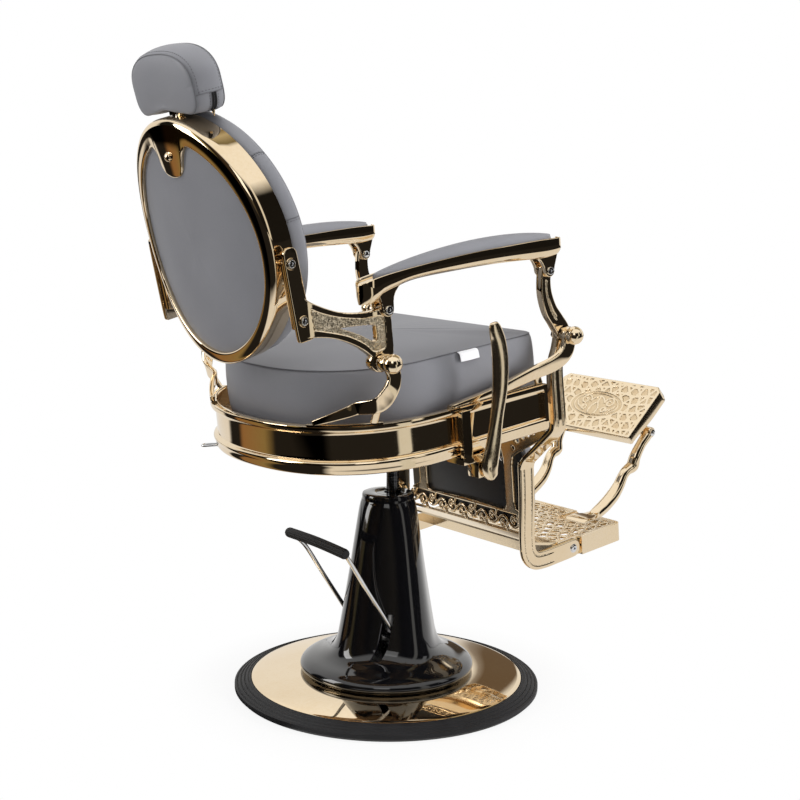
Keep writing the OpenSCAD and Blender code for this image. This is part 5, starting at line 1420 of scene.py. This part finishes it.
def new_side_casting():
    outline = curve([(354, 270), (340, 271), (308, 267), (284, 257), (262, 241), (246, 222), (240, 205)], 5)
    outline += [(222, 200), (206, 222)] + curve([(204, 240), (204.5, 270), (206, 300), (222, 312)], 4)
    outline += curve([(238, 309), (262, 307.5), (293, 313), (324, 329), (344, 344), (354, 355)], 5)
    window = curve([(288, 283), (262, 284.5), (242, 283.5), (237.5, 281), (236.5, 276), (236, 262), (237, 255),
                    (241, 253.5),
                    (246, 255.5), (264, 268.5), (284, 279), (290, 282), (288, 283)], 3)
    field = curve([(331, 283), (308, 276.5), (281, 266.5), (258, 250), (246, 236), (232, 236), (222, 242), (219, 262),
                   (219.5, 286),
                   (225, 298), (240, 299), (262, 298), (292, 303.5), (318, 314), (334, 324)], 3)

    def inside(x, y):
        return np.maximum(np.maximum(shape_gap(outline, x, y),
                                     19 - np.hypot(x - pivots["rear"][0], y - pivots["rear"][1])),
                          13 - np.hypot(x - rear_pin[0], y - rear_pin[1]))

    def wall(u, face):
        bends = [(236, 336, 297, 232), (232, 330, 281, 224)][face]
        return bends[2] + (bends[3] - bends[2]) * ease(u, bends[0] - 14, bends[1] + 14)

    def pierced(x, y):
        return np.minimum(inside(x, y), -shape_gap(window, x, y))

    def sunk(x, y):
        return np.minimum(shape_gap(field, x, y), 30)
    plate = relief_plate("arm", pierced, (202, 356, 194, 360), 1.0, lambda x,
                         y: wall(x, 0) - 2.2 * ease(sunk(x, y), -0.3, 1.8),
                         lambda x, y: wall(x, 1), lambda x, y, h: (h, x, y), rim=2.0, marked=lambda x,
                         y: sunk(x, y) - 0.9)
    route = ((345.3, 268, 15.5), (345.7, 271, 16.8), (347.2, 281, 17), (350, 305, 17), (357, 360, 15.8),
             (364, 420, 14.6), (365, 430, 12),
             (365.5, 434, 8))
    bar = strap("strap", [(strip_x - 4, u, v, half, 0) for u, v, half in route], 8.4, sides=36, roundness=7, steps=5)
    spacer = strap("spacer", [(217.5, 351, 290, 11, 0), (217.5, 358, 350, 11, 0), (217.5, 364, 412, 11, 0)], 14,
                   sides=16, roundness=8)
    profile = [(7.4, -2), (10.6, -2), (10.6, .8), (10, 1.6), (8.6, 1.8), (7.8, 1.4), (7.4, .6)]
    rings = [turned("ring", [(q, strip_x + h) for q, h in profile], *at, 40) for at in strip_bolts]
    left = joined("side_casting_left", [plate, bar, spacer] + rings)
    place_pair(left, (gold, pebbled_gold), "back", "back_casting_*")
    one = joined("heads", [socket_screw("head", seat_point(strip_x, *at), (1, 0, 0), 7, 4, 3.2, 20)
                           for at in strip_bolts])
    place_piece(joined("side_casting_screws", [one, mirrored(one, "other_heads")]), chrome, "back",
                ["casting_screws"])


new_side_casting()

# ---- Armrests ----
# A cast and plated frame, bevelled below, with a clevis under each end for a cap screw; the
# padded top of foam in leather-look cloth is let into its rim and swells towards the front.

arm_top = [(-222, 376.5), (-216, 377.5), (-160, 380), (-100, 381), (0, 381), (100, 378), (200, 372), (250, 366),
           (262, 362), (268.5, 357)]
arm_low = [(-222, 347), (-216, 346), (-180, 342.5), (-150, 343.5), (-50, 350), (50, 352), (150, 351), (200, 342),
           (226, 335), (240, 326), (254, 322.5), (268.5, 323)]


def arm_line(points, u):
    table = np.array(spline(points, 8))
    return float(np.interp(u, table[:, 0], table[:, 1]))


def arm_half(u):
    """Half width of the armrest frame."""
    if u < -200:
        return 29 * max(0.02, 1 - ((-200 - u) / 16) ** 3) ** (1 / 3)
    if u > 244:
        return 21.5 * max(0.02, 1 - ((u - 244) / 24) ** 2) ** 0.5
    return float(np.interp(u, [-200, -60, 120, 244], [29, 29, 24, 21.5]))


def new_ear(name, at, polygon, x):
    """Plate of a clevis, with a round end about its screw."""
    def inside(px, py):
        return np.maximum(shape_gap(polygon, px, py), 12 - np.hypot(px - at[0], py - at[1]))
    bounds = (at[0] - 44, at[0] + 44, at[1] - 14, at[1] + 48)
    return relief_plate(name, inside, bounds, 1.1, flat_at(x + 4), flat_at(x - 4), lambda px, py, h: (h, px, py), 1.3)


def new_armrest():
    stations = [-216 + 16 * (1 - math.cos(t))
                for t in np.linspace(0.12, math.pi / 2, 9)] + list(np.linspace(-190, 240, 32))
    stations += [244 + 24 * math.sin(t) for t in np.linspace(0.05, math.pi / 2 - 0.06, 9)]
    rows = []
    for u in stations:
        w, high, low = arm_half(u), arm_line(arm_top, u), arm_line(arm_low, u)
        flat = high - low
        side = [(-5.2, high - 4), (-4.6, high - .7), (-3.8, high), (-1.6, high), (-.5, high - .6), (0, high - 2),
                (0, low + flat * .42), (-.4, low + flat * .36),
                (-3.2, low + flat * .20), (-7.5, low + 1.9), (-9.5, low + .7), (-12, low + .1)]
        half = [(max(w + i * min(1, w / 24), 0.3), v) for i, v in side]
        ring = half + [(0.0, low)] + [(-q, v) for q, v in reversed(half)] + [(0.0, high - 4)]
        rows.append([seat_point(289 + q, u, v) for q, v in ring])
    body = grid_mesh("body", rows, cap=True)
    rear = curve([(227, 303), (229.5, 316), (233, 330), (240, 344), (243, 349)], 4)
    rear += curve([(168, 356), (184, 348), (196, 337), (202, 324), (203.6, 304)], 4)
    front = curve([(-176, 311), (-174, 322), (-167, 335), (-157, 343), (-138, 350)], 4)
    front += curve([(-211, 357), (-209.5, 345), (-205, 332), (-200.5, 320), (-199.5, 311)], 4)
    ears = [new_ear("ear", pin, shape, 289 + s * 12.5) for pin,
            shape in ((rear_pin, rear), (front_pin, front)) for s in (-1, 1)]
    place_pair(joined("armrest_casting_left", [body] + ears), gold, "armrest_*", "armrest_frame_*")
    pins, profile = [], [(0, 269.5), (6.2, 269.5), (7.5, 270.5), (7.5, 272.5), (5, 272.5), (5, 300), (0, 300)]
    for at in (rear_pin, front_pin):
        pins += [socket_screw("head", seat_point(305.5, *at), (1, 0, 0), 7.5, 3, 2.8, 20),
                 turned("end", profile, *at, 32)]
    place_pair(joined("armrest_screws_left", pins), chrome, "armrest_*", "armrest_pins_*")
    ends = [0, .008, .022, .045, .08, .12, .17, .23, .3, .38, .46, .54, .62, .7, .77, .83, .88, .92, .95, .975, .99,
            1]
    pad_rows = []
    for k in ends:
        at = -207 + 439 * k
        w = (29 + (22 - 29) * k ** 1.4 - 4.5) * math.sqrt(max(0.02, 1 - abs(2 * k - 1) ** 7))
        h = 21 * math.sin(math.pi * (0.03 + 0.94 * k) ** 0.82) ** 0.72
        low = 369.5 + 2.5 * math.sin(math.pi * k) - 8 * k ** 3
        pad_rows.append([seat_point(289 + w * power(math.cos(a), 2.4), at,
                                    low + ((h + 8) * power(math.sin(a), 2.2) if math.sin(a) > 0 else -0.1))
                         for a in circle(44)])
    for side, s in (("left", 1), ("right", -1)):
        skin = [[Vector((p.x * s, p.y, p.z)) for p in r] for r in pad_rows]
        pad = inflated(grid_mesh("armrest_pad_cover_" + side, skin, cap=True), 0.0015, armrest_pad_held, 2.0)
        place_piece(pad, leather, "armrest_" + side, ["armrest_pad_" + side])


def armrest_pad_held(p):
    """The pad is held where it lies inside the rim of its frame."""
    u, v = seat_frame(p)
    return v < arm_line(arm_top, u * 1000) / 1000 + 0.0015


new_armrest()
# ---- Legrest ----
# Two cast bars hang from the armrest pins and swing on the front pivots. Each has a pebbled line
# sunk in its upper post and two below, steps in under the seat, and turns forward under the tray.


def ribbed(name, route, relief, across):
    """Flat bar along (x, u, v, half width, thickness, heading); relief(run, w) is the depth of its
    outer face in millimetres at each station, w from -1 to 1, and deep parts are pebbled."""
    q = spline(route, 6)
    spots = [seat_point(*p[:3]) for p in q]
    axes = [bar_axes(spots, i, p[5]) for i, p in enumerate(q)]
    run, rows = run_of(np.array(spots)) * 1000, []
    for spot, p, (out, wide), far in zip(spots, q, axes, run):
        h, t, row = p[3], p[4] / 2, []
        for w in np.linspace(-1, 1, across):
            edge = max(0, 1 - (1 - abs(w)) * h / 2.2)
            row.append(spot + (wide * w * h + out * (t - relief(far, w) - 2.0 * edge ** 2)) / 1000)
        rear = ((1, .7), (.97, 1), (0, 1), (-.97, 1), (-1, .7))
        rows.append(row + [spot + (wide * w * h - out * t * e) / 1000 for w, e in rear])
    o = grid_mesh(name, rows, cap=True)
    for face in o.data.polygons:
        k = int(np.argmin(np.linalg.norm(np.array(spots) - np.array(face.center), axis=1)))
        away, (out, wide) = (face.center - spots[k]) * 1000, axes[k]
        if away.dot(out) > 0 and relief(run[k], away.dot(wide) / q[k][3]) > 0.7:
            face.material_index = 1
    return o


def new_leg_casting():
    # (x, u, v, half width, thickness) of the upper post, and the bend in under the seat
    post = [(289, -187.0, 328.0, 2.5, 14), (289, -187.2, 327.0, 6.5, 16), (289, -187.5, 322, 11.2, 16),
            (289, -187.8, 315, 12.6, 16),
            (289, -184.5, 296, 12.5, 16), (289, -185, 268, 14, 16), (289, -195, 236, 15.5, 16),
            (289, -212, 210, 16.5, 16),
            (289, -225, 186, 17.5, 16), (289, -217, 156, 16, 16), (289, -205, 130, 15.5, 16),
            (289, -201, 100, 16.4, 16),
            (289, -202, 45, 17, 16), (289, -202, 8, 17, 16), (284, -201.5, -10, 17, 15), (262, -198, -33, 17.2, 13),
            (232, -194, -62, 17.8, 11), (210, -190, -84, 18.6, 9.6), (203.4, -189, -100, 19.5, 9)]
    # the same of the lower bar, down to the tray and forward under it
    bar = [(203.4, -189, -88, 14, 9), (203, -189, -90.5, 17.5, 9)]
    bar += [(203, u, v, 19.5, 9) for u,
            v in ((-189, -95), (-187, -150), (-182, -220), (-180, -262), (-183, -286), (-198, -303), (-225, -308),
                                              (-265, -308), (-309, -307))]
    bar += [(203, -319, -307, 17.2, 9), (203, -325, -307, 11.5, 9), (203, -328.3, -307, 4, 8.6)]

    def post_relief(run, w):
        one = (1 - ease(abs(w), .15, .27)) * ease(run, 30, 36) * (1 - ease(run, 112, 118))
        two = (1 - ease(abs(abs(w) - .44), .12, .23)) * ease(run, 172, 180) * (1 - ease(run, 335, 352))
        return 1.9 * one + 1.9 * two

    def bar_relief(run, w):
        return 0.75 * ((1 - ease(abs(abs(w) - .52), .05, .12)) * ease(run, 9, 14) * (1 - ease(run, 268, 280)))
    parts = [ribbed("post", [(*p, 0) for p in post], post_relief, 34),
             ribbed("bar", [(*p, 0) for p in bar], bar_relief, 44),
             turned("boss", [(0, 280.5), (16.8, 280.5), (18, 282), (18, 295.5), (16.8, 297), (0, 297)],
                    *pivots["front"])]
    place_pair(joined("leg_bar_left", parts), (gold, pebbled_gold), "legs", "leg_casting_*")


new_leg_casting()

# ---- Calf frame and pad ----
# A pierced and cast frame between the bars: a lower rail of scrolls, narrow stiles and swept
# wings. A black laminate board is screwed to its front and carries the padded calf cushion.


def scroll(cx, cy, r0, r1, a0, a1, n=22):
    """Points of a spiral about (cx, cy), from radius r0 at angle a0 to r1 at a1, in degrees."""
    spots = [(r0 + (r1 - r0) * k / n, math.radians(a0 + (a1 - a0) * k / n)) for k in range(n + 1)]
    return [(cx + r * math.cos(a), cy + r * math.sin(a)) for r, a in spots]


def both_sides(half):
    """Outline from its half on the left of the sitter."""
    return half + [(-x, y) for x, y in reversed(half)]


def new_calf_frame():
    side, rail, wing, out, inn = 198.2, -210, -62, 153, 128
    half = [(side - 24, -256), (side, -266), (side, rail - 22), (side - 20, rail + 2), (out + 3, rail + 12),
            (out, rail + 24), (out, wing - 46)]
    outer = both_sides(half + curve([(out + 4, wing - 24), (out + 28, wing - 9), (220, wing + 12), (259, wing + 34)],
                                    4) + [(259, -14)])
    half = [(0, rail + 6), (60, rail + 4), (inn - 14, rail + 2), (inn - 3, rail + 5), (inn, rail + 14),
            (inn, wing - 46)]
    opening = both_sides(half + curve([(inn - 1, wing - 30), (inn - 9, wing - 6), (inn - 34, wing + 20),
                                       (inn - 70, wing + 30)], 4))
    # a wave along the rail, with a scroll and a short leaf in each of its bends
    mid, bend = -232.5, 33
    lines = [[(x, mid + 10.5 * math.sin(math.pi * x / bend)) for x in np.arange(-190, 190.5, 3)]]
    for k in range(-6, 6):
        x, up = (k + .5) * bend, 1 if k % 2 else -1
        lines.append(scroll(x, mid + up * 7.5, 9.5, 2.6, -90 * up, -90 * up + up * 400))
        lines.append([(x - 14, mid + up * 19), (x - 9, mid + up * 9), (x - 15, mid - up * 1)])

    def inside(x, y):
        net = np.full(np.shape(x), 1e9)
        near = (y < rail + 6)
        for line in lines:
            net[near] = np.minimum(net[near], line_gap(line, x[near], y[near]))
        border = np.minimum(np.minimum(y + 251, rail - 3 - y), side - 7 - np.abs(x))
        pierced = np.minimum(border, net - 2.5)
        holes = np.full(np.shape(x), -1e9)
        for cx, cy, r in ((172, -47, 6.5), (190, -38, 5), (205, -30, 6), (222, -24, 4.5), (160, -66, 4)):
            holes = np.maximum(holes, r - np.hypot(np.abs(x) - cx, y - cy))
        return np.minimum(np.minimum(shape_gap(outer, x, y), -shape_gap(opening, x, y)), -np.maximum(pierced, holes))
    plate = relief_plate("calf_frame_casting", inside, (-262, 262, -268, -12), 1.75, flat_at(-195), flat_at(-201),
                         lambda x, y, h: (x, h, y), 1.4, lower_rim=0.6)
    place_piece(plate, satin_gold, "legs", ["calf_frame"])
    place_piece(chamfered("calf_board_panel", "calf_board", 0.0022, 3), laminate, "legs", ["calf_board"])
    screws = [socket_screw("screw", seat_point(x, -201.2, y), seat_point(0, 1, 0) - seat_point(0, 0, 0), 5.5, 2.4,
                           2.2, 4)
              for x, y in ((-118, -96), (-96, -96), (118, -96), (96, -96))]
    place_piece(joined("calf_board_screws", screws), chrome, "legs", ())
    w, tall, middle = 181, 100, -139

    def ring(q, d):
        return [seat_point(w * q * power(math.cos(t), 5), -211.6 - d, middle + tall * q * power(math.sin(t), 5))
                for t in circle(120)]
    rows = [ring(q, d) for q, d in (
        (.3, 0), (.7, 0), (.97, 0), (.993, 2), (1, 6), (1.005, 14), (1.0, 18), (.985, 21), (.965, 24), (.955, 25.6),
        (.95, 26.2),
        (.945, 26.4), (.935, 27.4), (.88, 29.6), (.8, 31.6), (.68, 33.4), (.54, 34.8), (.4, 35.6), (.25, 36),
        (.1, 36))]
    pad = inflated(grid_mesh("calf_pad_cover", rows, cap=True), 0.003, calf_pad_held)
    place_piece(pad, leather, "legs", ["calf_cushion"])
    seam = [Vector(p) for p in even([tuple(p) for p in ring(.952, 26.0)], 160)]
    # the seam cord is darker grey, which is painted shade in the crease round the pad's face
    place_piece(tube_loop("calf_pad_seam", seam, 0.0011), seam_cord_painted_shade, "legs", ())


def calf_pad_held(p):
    """The pad is held near its board and by the seam round its face."""
    u = seat_frame(p)[0] * 1000
    return u > -219 or -238.6 < u < -237.2


def new_laminate():
    m, t, shader, place = material("black laminate")
    speck = noise(t, place, 700.0, 3.0)
    looks(t, shader, speck, [(0.3, (0.008, 0.008, 0.009)), (0.7, (0.018, 0.018, 0.02))], [(0.3, 0.28), (0.7, 0.4)],
          speck, 0.2, 0.0002)
    return m


laminate = new_laminate()
new_calf_frame()

# ---- Footrest tray ----
# A cast box between the feet of the bars: its top is a pierced net of bent bars, its skirt is
# plain and polished, with two cut-outs at the front for the feet of the yoke.


def net_gap(x, y):
    """Distance to a net of three families of bent bars, whose meshes are slivers, triangles and diamonds."""
    best = np.full(np.shape(x), 1e9)
    for degrees, pitch, bend, start in ((9, 25, 5.0, 3), (66, 27, 5.5, 11), (127, 23, 4.6, 7)):
        a = math.radians(degrees)
        along, across = x * math.cos(a) + y * math.sin(a), y * math.cos(a) - x * math.sin(a)
        t = (across + bend * np.sin(along / 29 + start) + 2.4 * np.sin(along / 12 + start * 2)) / pitch
        best = np.minimum(best, np.abs(t - np.round(t)) * pitch)
    return best


tray_top, tray_low, tray_rear, tray_nose = -286, -326, -268, -450


def new_tray():
    # the tray is wider in front of its step, and each foot of the yoke stands in a cut-out
    side, wide, step, thick = 198.2, 207.5, -331, 4
    outline = both_sides([(side, tray_rear), (side, step), (wide, step), (wide, tray_nose + 8),
                          (wide - 2.4, tray_nose + 2.4),
                          (wide - 8, tray_nose)])

    def inside(x, y):
        edge = shape_gap(outline, x, y)
        notch = np.minimum(np.minimum(35 - np.abs(np.abs(x) - 115), -400.5 - y), 60)
        edge = np.minimum(edge, -notch)
        return np.minimum(edge, np.maximum(3.1 - net_gap(x, y), 9 - edge))

    top = relief_plate("top", inside, (-wide - 2, wide + 2, tray_nose - 2, tray_rear + 2), 1.75, flat_at(tray_top),
                       flat_at(tray_top - 5),
                       lambda x, y, h: (x, y, h), 1.5, lower_rim=0.5)

    def board(points, s=1, high=tray_top):
        """Upright wall along points, with rounded top edges; for s of -1 it stands on the other side."""
        rows, points = [], [(s * x, y) for x, y in points][::s]
        for i, p in enumerate(points):
            a, b = points[max(i - 1, 0)], points[min(i + 1, len(points) - 1)]
            d = Vector((b[0] - a[0], b[1] - a[1])).normalized()
            n = Vector((d.y, -d.x))
            ring = [(0, tray_low), (0, high - 1.6), (-.5, high - .5), (-1.6, high), (-thick, high),
                    (-thick, tray_low)]
            rows.append([seat_point(p[0] + n.x * o, p[1] + n.y * o, v) for o, v in ring])
        return grid_mesh("wall", rows, cap=True)
    walls = [board([(79.8, tray_nose), (-79.8, tray_nose)]),
             board([(-side, tray_rear), (side, tray_rear)], 1, tray_top - 4)]
    corner = [(wide - 8 + 8 * math.cos(a), tray_nose + 8 + 8 * math.sin(a)) for a in np.linspace(0, -math.pi / 2, 8)]
    for s in (1, -1):
        walls += [board([(wide, step)] + corner + [(150.2, tray_nose)], s),
                  board([(side, tray_rear), (side, step)], s),
                  board([(wide, step), (side - thick, step)], s),
                  board([(150.4, tray_nose), (79.6, tray_nose)], s, tray_low + 8)]
        walls += [board([(x, -401), (x, tray_nose)], s, tray_top - 1) for x in (150.4, 83.6)]
    slope = [(tray_rear - 5, tray_top - 5), (tray_rear, tray_top - 5), (-196.6, -270.4), (-196.6, -266.4),
             (-202, -266.4), (tray_rear - 5, tray_top)]
    walls.append(grid_mesh("slope", [[seat_point(x, u, v) for u, v in slope]
                                     for x in (-side, -side + 1, side - 1, side)], cap=True))
    tray = joined("footrest_tray_casting", [top] + walls)
    place_piece(tray, satin_gold, "legs", ["footrest_tray"])
    at, washer = (-309, -307), [(0.01, 205), (9.6, 205), (9.6, 207.9), (9, 208.4), (0.01, 208.4)]
    one = joined("one", [socket_screw("head", seat_point(wide, *at), (1, 0, 0), 8, 3, 3.4, 18),
                         turned("washer", washer, *at, 40)])
    place_piece(joined("tray_screw_heads", [one, mirrored(one, "other")]), chrome, "legs", ["tray_screws"])
    finish(chrome, cad("yoke_rod"))


new_tray()

# ---- Folding step ----
# Two cast arms with a double bend rise from wide feet in the tray, knuckled at the elbow, and carry
# the step on cap screws; its plate has a sunk pattern round an oval of scrolls and leaves.


step_rod = (-648, -139)


def new_yoke():
    route = [(115, -452, -298.5), (115, -466, -297), (115, -480, -291.5), (115, -506, -281), (115, -534, -265),
             (116, -554, -246),
             (118, -568, -225), (119.5, -580, -215), (121, -597, -208), (124, -604, -188), (126, -622, -164),
             (128, -640, -147),
             (128, *step_rod)]
    path, sizes = spline(route, 6), [12, 13, 14, 15, 15, 13.2, 11.6, 11.8, 14.6, 13, 11.6, 12.4, 12]
    radius = np.interp(np.arange(len(path)), np.arange(len(route)) * 6, sizes) / 1000
    arm = tube("arm", [seat_point(*p) for p in path], list(radius), 28, start=Vector((1, 0, 0)))
    foot_rows = []
    for u, v, w, h, n in ((-404, -297, 30, 7, 4), (-410, -296, 33, 9.5, 4.5), (-430, -295.5, 34.4, 10.5, 5),
                          (-446, -297, 33.5, 10, 4.5), (-458, -298, 25, 10, 3.4),
                          (-470, -295.5, 16, 10.2, 2.6), (-482, -290.6, 11.4, 10.4, 2.1)):
        foot_rows.append([seat_point(115 + w * power(math.cos(a), n), u, v + h * power(math.sin(a), n))
                          for a in circle(40)])
    foot = grid_mesh("foot", foot_rows, cap=True)
    eye_ring = turned("eye", [(0, 118), (10.8, 118), (12, 119.2), (12, 136.8), (10.8, 138), (0, 138)], *step_rod, 40)
    one = joined("one_arm", [arm, foot, eye_ring])
    place_piece(joined("step_yoke_arms", [one, mirrored(one, "other_arm")]), gold, "yoke", ["step_yoke"])


new_yoke()


def step_place(x, y, z):
    """Step frame millimetres (y down and back along the plate, z out of its top) to the seat frame."""
    c, s = math.cos(math.radians(36.3)), math.sin(math.radians(36.3))
    return x, -553 + y * c + z * s, -128 - y * s + z * c


def ornament():
    """Lines of a common ornament: paired scrolls, a stem and a three-part leaf."""
    lines = []
    for s in (1, -1):
        for cx, cy, r, way, start, turns in ((36, -9, 15, 1, 190, 470), (30, 14, 9, -1, 10, 420)):
            lines.append([(s * x, y) for x, y in scroll(cx, cy, r, 3.4, start, start + way * turns, 40)])
        for leaf in ([(2, -24), (10, -20), (17, -14), (21, -8)], [(3, -4), (9, 5), (12, 14), (10, 26)],
                     [(57, -2), (53, 6), (46, 11), (40, 13)]):
            lines.append([(s * x, y) for x, y in spline(leaf, 4)])
    lines.append([(0, -25), (0, -4)])
    return lines


# The sunk pattern of the step is rougher than the plate, a real matt finish, and its darker colour is painted shade
# in the recesses.
sunk_gold_painted_shade = new_metal("matt gold of the sunk pattern", (0.76, 0.58, 0.36), (0.86, 0.70, 0.47), 0.36, 0.5, wave=0.5)


def new_step():
    half, long, deep, cut = 151, 153, 24, 13
    outline = both_sides([(half - 1.5, 0), (half, -1.5), (half, -long + cut), (half - cut, -long)])
    leaf = ornament()

    def depth(x, y):
        edge = shape_gap(outline, x, y)
        oval = 1 - np.hypot(x / 76, (y + long / 2) / 37)
        web = ease(net_gap(x + 13, y + 5), 3.2, 4.3) * ease(edge, 6.5, 8) * ease(-oval, 0.05, 0.09)
        ring = ease(oval, 0.0, 0.03) * (1 - ease(oval, 0.10, 0.13))
        field = ease(oval, 0.16, 0.20)
        near = np.full(np.shape(x), 1e9)
        close = oval > 0.1
        for line in leaf:
            near[close] = np.minimum(near[close], line_gap(line, x[close], y[close] + long / 2))
        return 1.9 * web + 1.5 * ring + 1.5 * field * ease(near, 1.9, 3.0)

    def inside(x, y):
        return shape_gap(outline, x, y)
    # faces sunk deeper than 0.25 mm take the darker gold, which is painted shade in the recesses
    parts = [relief_plate("top", inside, (-half - 1, half + 1, -long - 1, 1), 1.15, lambda x, y: -depth(x, y),
                          flat_at(-4),
                          step_place, 2.4, marked=lambda x, y: depth(x, y) - 0.25, lower_rim=0)]
    rows, dense = [], even(outline, 180)
    inner = {d: inset_plan(dense, d) for d in (0.0, 0.6, 2.2, 4.2)}
    for d, z in ((4.2, -3.6), (2.2, -2.0), (0.6, -2.1), (0.0, -3.2), (0.0, -deep + 3), (0.6, -deep + 1.2),
                 (2.2, -deep), (4.2, -deep)):
        # the skirt is deeper away from the hinge edge
        rows.append([seat_point(*step_place(x, y, z - (7.5 * ease(-y, 8, 90) if z < -10 else 0))) for x,
                     y in inner[d]])
    parts.append(grid_mesh("skirt", rows, closed_v=True))

    def lug_inside(px, py):
        lug = [(-637, -144), (-598, -107), (-652, -66), (-659, -144)]
        return np.maximum(shape_gap(lug, px, py), 12 - np.hypot(px - step_rod[0], py - step_rod[1]))
    for x0 in (113.5, -113.5):
        parts.append(relief_plate("lug", lug_inside, (-664, -594, -152, -62), 1.6, flat_at(x0 + 4), flat_at(x0 - 4),
                                  lambda px, py, h: (h, px, py), 1.2))
    plate = joined("step_plate_casting", parts)
    place_piece(plate, (satin_gold, sunk_gold_painted_shade), "step", ["step_plate"])
    rod = turned("rod", [(0, -130), (4.9, -130), (4.9, 130), (0, 130)], *step_rod, 24)
    one = socket_screw("head", seat_point(138.6, *step_rod), (1, 0, 0), 7.5, 3.4, 3.0, 8)
    place_piece(joined("step_rod_and_heads", [rod, one, mirrored(one, "other")]), chrome, "step", ["step_rod"])


new_step()
